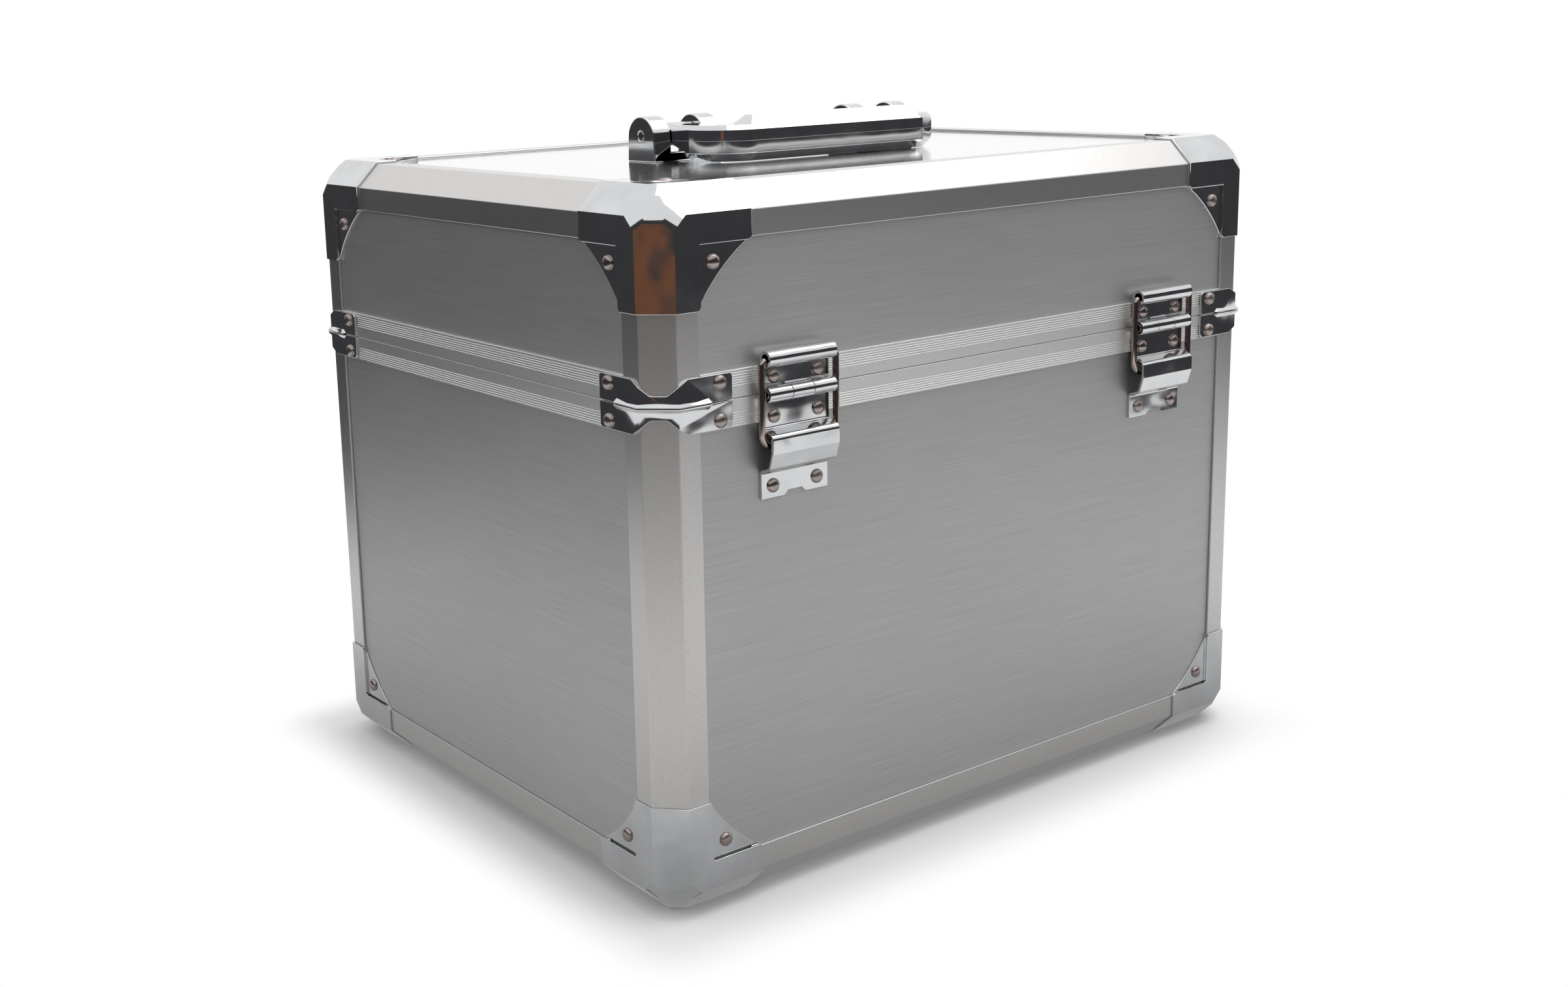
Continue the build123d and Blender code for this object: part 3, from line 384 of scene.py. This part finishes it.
def brushed_metal(name, tone, rough, stretch):
    """Brushed metal: scratches in two sizes, long where the stretch is small, and a cloudy sheen."""
    material, nodes, links, shader = new_material(name)
    fine = object_noise(nodes, links, scale=4200.0, stretch=stretch)
    broad = object_noise(nodes, links, scale=900.0, stretch=stretch)
    cloud = object_noise(nodes, links, scale=9.0)
    light = tint(nodes, links, fine, low=scaled(tone, 0.92), high=scaled(tone, 1.08))
    shade = tint(nodes, links, broad, low=(0.965, 0.965, 0.965), high=(1.0, 1.0, 1.0))
    mix = nodes.new("ShaderNodeMix")
    mix.data_type = "RGBA"
    mix.blend_type = "MULTIPLY"
    mix.inputs["Factor"].default_value = 1.0
    links.new(light, mix.inputs["A"])
    links.new(shade, mix.inputs["B"])
    sheen = remap(nodes, links, cloud, low=rough - 0.02, high=rough + 0.02)
    shader.inputs["Metallic"].default_value = 1.0
    links.new(mix.outputs["Result"], shader.inputs["Base Color"])
    links.new(sheen, shader.inputs["Roughness"])
    bump(nodes, links, fine, shader, strength=0.15, depth_mm=0.01)
    return material


def satin_metal(name, tone, rough):
    """Satin anodised metal: an even sheen with a hardly visible mottle."""
    material, nodes, links, shader = new_material(name)
    mottle = object_noise(nodes, links, scale=1400.0)
    finish = tint(nodes, links, mottle, low=scaled(tone, 0.95), high=scaled(tone, 1.05))
    shader.inputs["Metallic"].default_value = 1.0
    shader.inputs["Roughness"].default_value = rough
    links.new(finish, shader.inputs["Base Color"])
    return material


def plated_metal(name, tone, rough, waviness=0.12):
    """Plated pressed metal: cloudy gloss, with a waviness from the press."""
    material, nodes, links, shader = new_material(name)
    cloud = object_noise(nodes, links, scale=55.0, detail=4.0)
    wave = object_noise(nodes, links, scale=75.0, detail=1.0)
    finish = tint(nodes, links, cloud, low=scaled(tone, 0.9), high=scaled(tone, 1.06))
    gloss = remap(nodes, links, cloud, low=rough * 0.7, high=rough * 1.5)
    shader.inputs["Metallic"].default_value = 1.0
    links.new(finish, shader.inputs["Base Color"])
    links.new(gloss, shader.inputs["Roughness"])
    bump(nodes, links, wave, shader, strength=waviness, depth_mm=0.5)
    return material


def foam_material(name, tone):
    """Open-cell foam: matt, with small cells."""
    material, nodes, links, shader = new_material(name)
    cells = object_noise(nodes, links, scale=900.0)
    finish = tint(nodes, links, cells, low=scaled(tone, 0.5), high=scaled(tone, 1.7))
    shader.inputs["Roughness"].default_value = 0.95
    shader.inputs["Specular IOR Level"].default_value = 0.15
    links.new(finish, shader.inputs["Base Color"])
    bump(nodes, links, cells, shader, strength=0.8, depth_mm=0.5)
    return material


def paint(obj, material):
    """Gives every slot of an object one material."""
    if not obj.material_slots:
        obj.data.materials.append(material)
    for slot in obj.material_slots:
        slot.material = material


# Pieces


def stand_in(piece, node, material):
    """Puts a piece in the place of a CAD node: on its body and in one material."""
    bpy.context.scene.collection.objects.link(piece)
    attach(piece, BODIES[node])
    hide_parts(node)
    paint(piece, material)


def new_piece(mesh, node, material):
    """A piece from a new mesh, with the mesh's name, in the place of a CAD node."""
    piece = bpy.data.objects.new(mesh.name, mesh)
    stand_in(piece, node, material)
    return piece


def smooth_copy(node, edge, segments, material, crisp=CURVED, rounded=CURVED):
    """A merged copy of a CAD node, shaded smooth across its curves and rounded along its edges.

    An edge whose faces meet at more than crisp degrees is shaded crisp, and one at more than rounded
    degrees is rounded to the width given as edge."""
    mesh = NODES[node].data.copy()
    mesh.name = node + "_smooth"
    work = bmesh.new()
    work.from_mesh(mesh)
    bmesh.ops.remove_doubles(work, verts=work.verts, dist=CAD_WELD)
    bmesh.ops.dissolve_limit(work, angle_limit=radians(FLAT), verts=work.verts, edges=work.edges)
    for face in work.faces:
        face.smooth = True
    work.to_mesh(mesh)
    work.free()
    mesh.set_sharp_from_angle(angle=radians(crisp))
    piece = bpy.data.objects.new(mesh.name, mesh)
    bevel = piece.modifiers.new("rounded_edges", "BEVEL")
    bevel.width = edge
    bevel.segments = segments
    bevel.limit_method = "ANGLE"
    bevel.angle_limit = radians(rounded)
    bevel.use_clamp_overlap = True
    weigh = piece.modifiers.new("even_faces", "WEIGHTED_NORMAL")
    weigh.keep_sharp = True
    stand_in(piece, node, material)
    return piece


def grid_faces(points, closed_u=False, closed_v=False):
    """The points and faces of a (u, v, 3) grid; a closed direction joins its last row to its first."""
    rows, columns = points.shape[:2]
    u = np.arange(rows if closed_u else rows - 1)
    v = np.arange(columns if closed_v else columns - 1)
    a, b = np.meshgrid(u, v, indexing="ij")
    next_a, next_b = (a + 1) % rows, (b + 1) % columns
    corners = (a * columns + b, next_a * columns + b, next_a * columns + next_b, a * columns + next_b)
    return points.reshape(-1, 3), np.stack(corners, axis=-1).reshape(-1, 4)


def sealed_mesh(name, parts):
    """One smooth-shaded mesh from (points, faces) pairs, merged where they meet, its faces outwards."""
    mesh = bpy.data.meshes.new(name)
    starts = np.cumsum([0] + [len(points) for points, _ in parts[:-1]])
    points = np.concatenate([p for p, _ in parts])
    faces = [tuple(face) for (_, f), start in zip(parts, starts) for face in (f + start).tolist()]
    mesh.from_pydata(points.tolist(), [], faces)
    mesh.update()
    mesh.shade_smooth()
    work = bmesh.new()
    work.from_mesh(mesh)
    bmesh.ops.remove_doubles(work, verts=work.verts, dist=NEW_WELD)
    bmesh.ops.recalc_face_normals(work, faces=work.faces)
    work.to_mesh(mesh)
    work.free()
    return mesh


def box_corners(node):
    """The lowest and highest corners of a CAD node as arrays."""
    return (np.array(corner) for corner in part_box(node))


def node_points(node):
    """The vertices of a CAD node as an array."""
    mesh = NODES[node].data
    points = np.empty(len(mesh.vertices) * 3, np.float64)
    mesh.vertices.foreach_get("co", points)
    return points.reshape(-1, 3)


def solid_boxes(node):
    """The lowest and highest corners of each separate solid of a CAD node.

    Each vertex takes the lowest number on its faces, again and again, until a solid has one number."""
    mesh = NODES[node].data
    corners = np.empty(len(mesh.loops), np.int32)
    mesh.loops.foreach_get("vertex_index", corners)
    points, merged = np.unique(node_points(node).round(POINT_DECIMALS), axis=0, return_inverse=True)
    faces = merged.ravel()[corners].reshape(-1, 3)
    label, before = np.arange(len(points)), None
    while before is None or (label != before).any():
        before = label.copy()
        np.minimum.at(label, faces, label[faces].min(axis=1, keepdims=True))
    solids = [points[label == number] for number in np.unique(label)]
    return [(solid.min(axis=0), solid.max(axis=0)) for solid in solids]


def rivet_heads(node, around, rings):
    """Domed heads, one for each solid of a rivet node.

    A head is a lathed profile: radius R * cos t and height rim + (H - rim) * sin t, from rim to crown.
    It stands on the solid's inner face, along the solid's thinnest direction, facing away from the
    middle of the case."""
    middle = (np.array(CAD_BOX[0]) + np.array(CAD_BOX[1])) / 2
    t = np.linspace(0, np.pi / 2, rings)
    angle = np.linspace(0, 2 * np.pi, around, endpoint=False)
    parts = []
    for low, high in solid_boxes(node):
        size, centre = high - low, (low + high) / 2
        axis = int(np.argmin(size))
        facing = 1.0 if centre[axis] > middle[axis] else -1.0
        out = np.zeros(3)
        out[axis] = facing
        first, second = np.roll(np.eye(3), -axis, axis=0)[1:]
        height, radius = size[axis], size.max() / 2
        rim = RIM_SHARE * height
        base = centre - out * height / 2
        radii = np.concatenate([[0.0, radius, radius], radius * np.cos(t[1:])])
        heights = np.concatenate([[0.0, 0.0, rim], rim + (height - rim) * np.sin(t[1:])])
        ring = np.cos(angle)[:, None] * first + np.sin(angle)[:, None] * second * facing
        points = base + radii[:, None, None] * ring[None] + heights[:, None, None] * out
        parts.append(grid_faces(points, closed_v=True))
    return parts


def make_rivets(node, settings, material):
    """All the heads of one half as one piece."""
    mesh = sealed_mesh(node + "_domed", rivet_heads(node, settings.around, settings.rings))
    mesh.set_sharp_from_angle(angle=radians(RIVET_CRISP))
    new_piece(mesh, node, material)


def rounded_path(corners, bends):
    """A flat path of straight runs joined by arcs, one bend radius for each inner corner.

    Each arc touches both runs; its points are centre + radius * (cos, sin) from one run to the next."""
    points = [corners[0]]
    for before, corner, after, bend in zip(corners, corners[1:], corners[2:], bends):
        back, ahead = before - corner, after - corner
        back, ahead = back / np.linalg.norm(back), ahead / np.linalg.norm(ahead)
        half = np.arccos(np.clip(back @ ahead, -1, 1)) / 2
        centre = corner + (back + ahead) / np.linalg.norm(back + ahead) * bend / np.sin(half)
        start = corner + back * bend / np.tan(half) - centre
        end = corner + ahead * bend / np.tan(half) - centre
        sweep = np.pi - 2 * half
        t = np.linspace(0, 1, BEND_STEPS)[:, None]
        points.extend(centre + (np.sin((1 - t) * sweep) * start + np.sin(t * sweep) * end) / np.sin(sweep))
    points.append(corners[-1])
    return np.array(points)


def tube(path, normal, radius, around):
    """A wire along a flat path: round each point a circle across the path.

    A point is path + radius * (cos a * side + sin a * normal), where side is tangent x normal and
    normal is square to the path's plane."""
    tangent = np.gradient(path, axis=0)
    tangent /= np.linalg.norm(tangent, axis=1, keepdims=True)
    side = np.cross(tangent, normal)
    angle = np.linspace(0, 2 * np.pi, around, endpoint=False)
    across = np.cos(angle)[None, :, None] * side[:, None, :]
    upright = np.sin(angle)[None, :, None] * np.asarray(normal)
    return path[:, None, :] + radius * (across + upright)


def capped_tube(path, normal, radius, around):
    """A tube with its two ends closed, by rings that shrink to a point."""
    rings = tube(path, normal, radius, around)
    first = np.repeat(path[:1, None, :], around, axis=1)
    last = np.repeat(path[-1:, None, :], around, axis=1)
    return np.concatenate([first, rings, last])


def wire_piece(node, points, closed, material):
    """A wire from its grid of points."""
    mesh = sealed_mesh(node + "_wire", [grid_faces(points, closed_u=closed, closed_v=True)])
    new_piece(mesh, node, material)


def make_ring(node, settings, material):
    """A closed ring of wire in an upright plane: a rounded rectangle that fills the node's box."""
    low, high = box_corners(node)
    radius = (high[1] - low[1]) / 2
    left, right = low[0] + radius, high[0] - radius
    bottom, top = low[2] + radius, high[2] - radius
    y, middle = (low[1] + high[1]) / 2, (low[0] + high[0]) / 2
    corners = np.array(
        [
            (middle, y, top),
            (right, y, top),
            (right, y, bottom),
            (left, y, bottom),
            (left, y, top),
            (middle, y, top),
        ]
    )
    upper, lower = settings.ring_top_bend, settings.ring_bottom_bend
    path = rounded_path(corners, (upper, lower, lower, upper))[:-1]
    closed = np.concatenate([path[-1:], path, path[:1]])
    points = tube(closed, (0, 1, 0), radius, settings.around)[1:-1]
    wire_piece(node, points, True, material)


def make_bail(node, settings, material):
    """A loop of wire in a leaning plane, whose ends turn inwards: its runs are read from the node's box."""
    low, high = box_corners(node)
    radius = settings.bail_radius
    left, right = low[0] + radius, high[0] - radius
    pivot = np.array([high[1] - radius, low[2] + radius])
    top = np.array([low[1] + radius, high[2] - radius])
    middle = (low[0] + high[0]) / 2
    cloud = node_points(node)
    ends = cloud[cloud[:, 2] < pivot[1] + radius]
    inner = np.abs(ends[:, 0] - middle).min()
    corners = np.array(
        [
            (middle + inner, *pivot),
            (right, *pivot),
            (right, *top),
            (left, *top),
            (left, *pivot),
            (middle - inner, *pivot),
        ]
    )
    upper, lower = settings.bail_bend, settings.bail_end_bend
    path = rounded_path(corners, (lower, upper, upper, lower))
    rise = top - pivot
    rise /= np.linalg.norm(rise)
    normal = np.array([0.0, rise[1], -rise[0]])
    wire_piece(node, capped_tube(path, normal, radius, settings.around), False, material)


def make_lid_foam(node, settings, material):
    """Convoluted foam pad: its underside is low + depth * (1 - cos kx * cos ky) / 2 with k = 2 pi / pitch.

    The relief fades to one level along the border, and flat sides join it to the top."""
    low, high = box_corners(node)
    nx, ny = (int((high[i] - low[i]) / settings.step) for i in (0, 1))
    x = np.linspace(low[0], high[0], nx)
    y = np.linspace(low[1], high[1], ny)
    grid_x, grid_y = np.meshgrid(x, y, indexing="ij")
    k = 2 * np.pi / settings.pitch
    wave = (1 - np.cos(k * grid_x) * np.cos(k * grid_y)) / 2
    edge_x = np.minimum(grid_x - low[0], high[0] - grid_x)
    edge_y = np.minimum(grid_y - low[1], high[1] - grid_y)
    fade = np.clip(np.minimum(edge_x, edge_y) / settings.border, 0, 1)
    relief = wave * fade + (1 - fade) * settings.border_level
    under = np.stack([grid_x, grid_y, low[2] + settings.depth * relief], axis=-1)
    over = np.stack([grid_x, grid_y, np.full_like(grid_x, high[2])], axis=-1)
    sides = (
        (under[0], over[0]),
        (under[-1], over[-1]),
        (under[:, 0], over[:, 0]),
        (under[:, -1], over[:, -1]),
    )
    skins = [grid_faces(points) for points in (under, over, *map(np.stack, sides))]
    mesh = sealed_mesh(node + "_pad", skins)
    mesh.set_sharp_from_angle(angle=radians(PAD_CRISP))
    piece = new_piece(mesh, node, material)


# Stage


def make_camera(stage):
    """A camera whose axes are worked out from azimuth, elevation and roll.

    It looks along (-sin az * cos el, cos az * cos el, -sin el), and its other axes turn about that
    by the roll."""
    az, el = stage.azimuth, stage.elevation
    back = Vector((np.sin(az) * np.cos(el), -np.cos(az) * np.cos(el), np.sin(el)))
    right = (-back).cross(Vector((0, 0, 1))).normalized()
    up = right.cross(-back)
    c, s = np.cos(stage.roll), np.sin(stage.roll)
    across, upright = c * right + s * up, -s * right + c * up
    turn = Matrix((across, upright, back)).transposed().to_4x4()
    data = bpy.data.cameras.new("camera")
    data.lens = stage.lens
    data.sensor_width = SENSOR_WIDTH
    data.sensor_fit = "HORIZONTAL"
    data.shift_x = stage.shift_x
    data.shift_y = stage.shift_y
    data.clip_end = FURTHEST
    camera = bpy.data.objects.new("camera", data)
    camera.matrix_world = Matrix.Translation(Vector(stage.camera_place)) @ turn
    bpy.context.scene.collection.objects.link(camera)
    bpy.context.scene.camera = camera


def stage_mesh(name, points, faces, material):
    """A piece of the stage."""
    mesh = bpy.data.meshes.new(name)
    mesh.from_pydata(points, [], faces)
    mesh.materials.append(material)
    piece = bpy.data.objects.new(name, mesh)
    bpy.context.scene.collection.objects.link(piece)
    return piece


def case_distance(nodes, links):
    """The distance from the case's outline, seen from above: the length of max(|place| - half size, 0)."""
    half_size = (CAD_BOX[1][0], CAD_BOX[1][1], 0)
    where = nodes.new("ShaderNodeTexCoord").outputs["Object"]
    folded = vector_step(nodes, links, "ABSOLUTE", where)
    past = vector_step(nodes, links, "SUBTRACT", folded, half_size)
    outside = vector_step(nodes, links, "MAXIMUM", past, (0, 0, 0))
    return vector_step(nodes, links, "LENGTH", outside, output="Value")


def make_floor(stage):
    """A white floor with the case's shadow.

    What the camera sees turns to plain white over the shadow's distance, by smoothstep. What the case
    reflects is a glow with a painted shadow: dark beside the case, rising evenly to plain white over
    the mirrored shadow's distance."""
    material, nodes, links, shader = new_material("white_floor")
    shader.inputs["Base Color"].default_value = (*stage.floor, 1)
    shader.inputs["Roughness"].default_value = 0.8
    shader.inputs["Specular IOR Level"].default_value = 0.1
    distance = case_distance(nodes, links)
    seen = nodes.new("ShaderNodeMapRange")
    seen.interpolation_type = "SMOOTHSTEP"
    seen.inputs["From Max"].default_value = stage.shadow
    links.new(distance, seen.inputs["Value"])
    # Painted shadow in reflections: the mirrored floor glows dark beside the case and plain white further
    # out
    mirrored = nodes.new("ShaderNodeMapRange")
    mirrored.inputs["From Max"].default_value = stage.mirrored_shadow
    mirrored.inputs["To Min"].default_value = stage.mirrored_painted_shadow
    links.new(distance, mirrored.inputs["Value"])
    to_camera = ray_is(nodes, links, "Is Camera Ray")
    by_camera = math_step(nodes, links, "MULTIPLY", seen.outputs["Result"], to_camera)
    by_mirrors = ray_is(nodes, links, "Is Glossy Ray", "Is Transmission Ray")
    surface = glow_over(nodes, links, shader.outputs["BSDF"], by_camera)
    surface = glow_over(nodes, links, surface, by_mirrors, mirrored.outputs["Result"])
    links.new(surface, nodes["Material Output"].inputs["Surface"])
    side = stage.floor_half
    corners = [(-side, -side, 0), (side, -side, 0), (side, side, 0), (-side, side, 0)]
    stage_mesh("floor", corners, [(0, 1, 2, 3)], material)


def card_material(name, tone):
    """A plain card that shows one tone from both sides."""
    material, nodes, links, _ = new_material(name)
    glow = nodes.new("ShaderNodeEmission")
    glow.inputs["Color"].default_value = (*tone, 1)
    links.new(glow.outputs["Emission"], nodes["Material Output"].inputs["Surface"])
    return material


def arc_card(name, span, rims, material):
    """A card between two arcs, left to reflections.

    Each rim is (x, y, z of its middle, radius), and its points are middle + radius * (cos a, sin a, 0)."""
    angle = np.radians(np.linspace(*span, ARC_STEPS))
    rays = np.stack([np.cos(angle), np.sin(angle), 0 * angle], axis=-1)
    points, faces = grid_faces(np.stack([np.array(rim[:3]) + rim[3] * rays for rim in rims]))
    card = stage_mesh(name, points.tolist(), faces.tolist(), material)
    card.visible_camera = False
    card.visible_diffuse = False
    card.visible_shadow = False
    card.visible_transmission = False


def make_cards(stage):
    """What a studio shows in reflections: dark cloth round the white table, a dark wall on the
    camera's side, and something warm below the camera."""
    dark = card_material("dark_cloth", stage.flag)
    warm = card_material("warm_card", stage.warm)
    above = 1 * MM
    cloth_rims = (stage.table_x, stage.table_y, above, stage.table), (0, 0, above, stage.floor_half)
    wall_rims = (0, 0, 0, stage.wall), (0, 0, stage.wall_top, stage.wall)
    warm_rims = (0, 0, 0, stage.warm_out), (0, 0, stage.warm_top, stage.warm_out)
    arc_card("floor_cloth", FULL_TURN, cloth_rims, dark)
    arc_card("camera_wall", WALL_SPAN, wall_rims, dark)
    arc_card("warm_card", WARM_SPAN, warm_rims, warm)


def make_lamp(stage):
    """A square softbox overhead that faces the case's middle on the floor."""
    data = bpy.data.lights.new("overhead_softbox", "AREA")
    data.shape = "SQUARE"
    data.size = stage.key_size
    data.energy = stage.key
    lamp = bpy.data.objects.new("overhead_softbox", data)
    lamp.location = stage.key_place
    lamp.rotation_euler = (-Vector(stage.key_place)).to_track_quat("-Z", "Y").to_euler()
    bpy.context.scene.collection.objects.link(lamp)


def make_world(stage):
    """White for the camera and for reflections, and a plain level for the rest of the light."""
    world = bpy.data.worlds.new("studio")
    world.use_nodes = True
    bpy.context.scene.world = world
    nodes, links = world.node_tree.nodes, world.node_tree.links
    background = nodes["Background"]
    level = nodes.new("ShaderNodeMix")
    level.data_type = "FLOAT"
    level.inputs["A"].default_value = stage.fill
    level.inputs["B"].default_value = 1.0
    seen = ray_is(nodes, links, "Is Camera Ray", "Is Glossy Ray", "Is Transmission Ray")
    links.new(seen, level.inputs["Factor"])
    links.new(level.outputs["Result"], background.inputs["Strength"])
    background.inputs["Color"].default_value = (1, 1, 1, 1)


# Operators


class CASE_OT_panels(Operator):
    """Gives the boards their brushed aluminium skin"""

    bl_idname = "case.panels"
    bl_label = "Dress Panels"

    def execute(self, context):
        finish = context.scene.case_finishes
        x_brushing, y_brushing = (BRUSHING, 1, 1), (1, BRUSHING, 1)
        along_x = brushed_metal("brushed_skin_x", finish.panel, finish.panel_rough, x_brushing)
        along_y = brushed_metal("brushed_skin_y", finish.panel, finish.panel_rough, y_brushing)
        top = brushed_metal("brushed_skin_top", finish.top, finish.top_rough, x_brushing)
        for node in NODES:
            if "panel" in node:
                paint(NODES[node], along_y if node.endswith(("left", "right")) else along_x)
        paint(NODES["lid_panel_top"], top)
        return {"FINISHED"}


class CASE_OT_profiles(Operator):
    """Gives the extrusions and valances their satin finish and rounded corners"""

    bl_idname = "case.profiles"
    bl_label = "Dress Profiles"

    def execute(self, context):
        finish, edges = context.scene.case_finishes, context.scene.case_edges
        satin = satin_metal("satin_extrusion", finish.profile, finish.profile_rough)
        ribbed = satin_metal("ribbed_extrusion", finish.valance, finish.valance_rough)
        for node in NODES:
            if "profiles" in node:
                smooth_copy(node, edges.profile, edges.segments, satin)
            elif "valance" in node:
                smooth_copy(node, edges.rib, 1, ribbed)
        return {"FINISHED"}


class CASE_OT_hardware(Operator):
    """Plates the caps, clips, hinges, latches and pins and rounds their edges"""

    bl_idname = "case.hardware"
    bl_label = "Dress Hardware"

    def execute(self, context):
        finish, edges = context.scene.case_finishes, context.scene.case_edges
        nickel = plated_metal("nickel_plate", finish.nickel, finish.nickel_rough, waviness=0.7)
        for node in NODES:
            if SLOTS[node] == "hardware":
                folded = "_cap_" in node or "_clip_" in node
                crisp, rounded = (FOLD_CRISP, FOLD_ROUNDED) if folded else (CURVED, CURVED)
                smooth_copy(node, edges.sheet, edges.segments, nickel, crisp, rounded)
        pin = plated_metal("pin_steel", finish.rivet, finish.nickel_rough)
        for node in NODES:
            if node.endswith("pins"):
                smooth_copy(node, edges.sheet, edges.segments, pin)
        return {"FINISHED"}


class CASE_OT_handle(Operator):
    """Gives the handle and its brackets their chrome and soft edges"""

    bl_idname = "case.handle"
    bl_label = "Dress Handle"

    def execute(self, context):
        finish, edges = context.scene.case_finishes, context.scene.case_edges
        chrome = plated_metal("handle_chrome", finish.chrome, finish.chrome_rough, waviness=0.05)
        for node in NODES:
            if SLOTS[node] == "handle":
                smooth_copy(node, edges.handle, edges.segments, chrome)
        return {"FINISHED"}


class CASE_OT_rivets(Operator):
    """Makes the domed rivet heads"""

    bl_idname = "case.rivets"
    bl_label = "Make Rivets"

    def execute(self, context):
        finish, settings = context.scene.case_finishes, context.scene.case_rivets
        head = plated_metal("rivet_plate", finish.rivet, finish.rivet_rough)
        for node in ("base_rivets", "lid_rivets"):
            make_rivets(node, settings, head)
        return {"FINISHED"}


class CASE_OT_wires(Operator):
    """Makes the hinge rings and the latch bails"""

    bl_idname = "case.wires"
    bl_label = "Make Wires"

    def execute(self, context):
        finish, settings = context.scene.case_finishes, context.scene.case_wires
        wire = plated_metal("wire_plate", finish.wire, finish.nickel_rough)
        for hand in ("left", "right"):
            make_ring("hinge_ring_" + hand, settings, wire)
            make_bail("latch_bail_" + hand, settings, wire)
        return {"FINISHED"}


class CASE_OT_foam(Operator):
    """Makes the foam block and the lid's pad"""

    bl_idname = "case.foam"
    bl_label = "Make Foam"

    def execute(self, context):
        finish, edges = context.scene.case_finishes, context.scene.case_edges
        foam = foam_material("open_cell_foam", finish.foam)
        block = smooth_copy("base_foam", edges.foam, edges.segments, foam)
        make_lid_foam("lid_foam", context.scene.case_foam, foam)
        return {"FINISHED"}


class CASE_OT_stage(Operator):
    """Sets the camera, the floor, the cards, the lamp and the world"""

    bl_idname = "case.stage"
    bl_label = "Set Stage"

    def execute(self, context):
        stage = context.scene.case_stage
        make_camera(stage)
        make_floor(stage)
        make_cards(stage)
        make_lamp(stage)
        make_world(stage)
        context.scene.view_settings.view_transform = "Standard"
        return {"FINISHED"}


STEPS = (
    CASE_OT_panels,
    CASE_OT_profiles,
    CASE_OT_hardware,
    CASE_OT_handle,
    CASE_OT_rivets,
    CASE_OT_wires,
    CASE_OT_foam,
    CASE_OT_stage,
)


class CASE_PT_sidebar(Panel):
    """Lists the steps that dress the case"""

    bl_idname = "CASE_PT_sidebar"
    bl_label = "Transmitter Case"
    bl_space_type = "VIEW_3D"
    bl_region_type = "UI"
    bl_category = "Case"

    def draw(self, context):
        for step in STEPS:
            self.layout.operator(step.bl_idname)


SETTINGS = {
    "case_finishes": CaseFinishes,
    "case_edges": CaseEdges,
    "case_rivets": CaseRivets,
    "case_wires": CaseWires,
    "case_foam": CaseFoam,
    "case_stage": CaseStage,
}


def register():
    """Registers the settings, the steps and the panel."""
    for name, group in SETTINGS.items():
        bpy.utils.register_class(group)
        setattr(bpy.types.Scene, name, PointerProperty(type=group))
    for step in STEPS:
        bpy.utils.register_class(step)
    bpy.utils.register_class(CASE_PT_sidebar)


def unregister():
    """Takes them away again."""
    bpy.utils.unregister_class(CASE_PT_sidebar)
    for step in reversed(STEPS):
        bpy.utils.unregister_class(step)
    for name, group in SETTINGS.items():
        delattr(bpy.types.Scene, name)
        bpy.utils.unregister_class(group)


def main():
    """Dresses the case."""
    register()
    bpy.ops.case.panels()
    bpy.ops.case.profiles()
    bpy.ops.case.hardware()
    bpy.ops.case.handle()
    bpy.ops.case.rivets()
    bpy.ops.case.wires()
    bpy.ops.case.foam()
    bpy.ops.case.stage()
    bpy.context.view_layer.update()


if __name__ == "__main__":
    main()
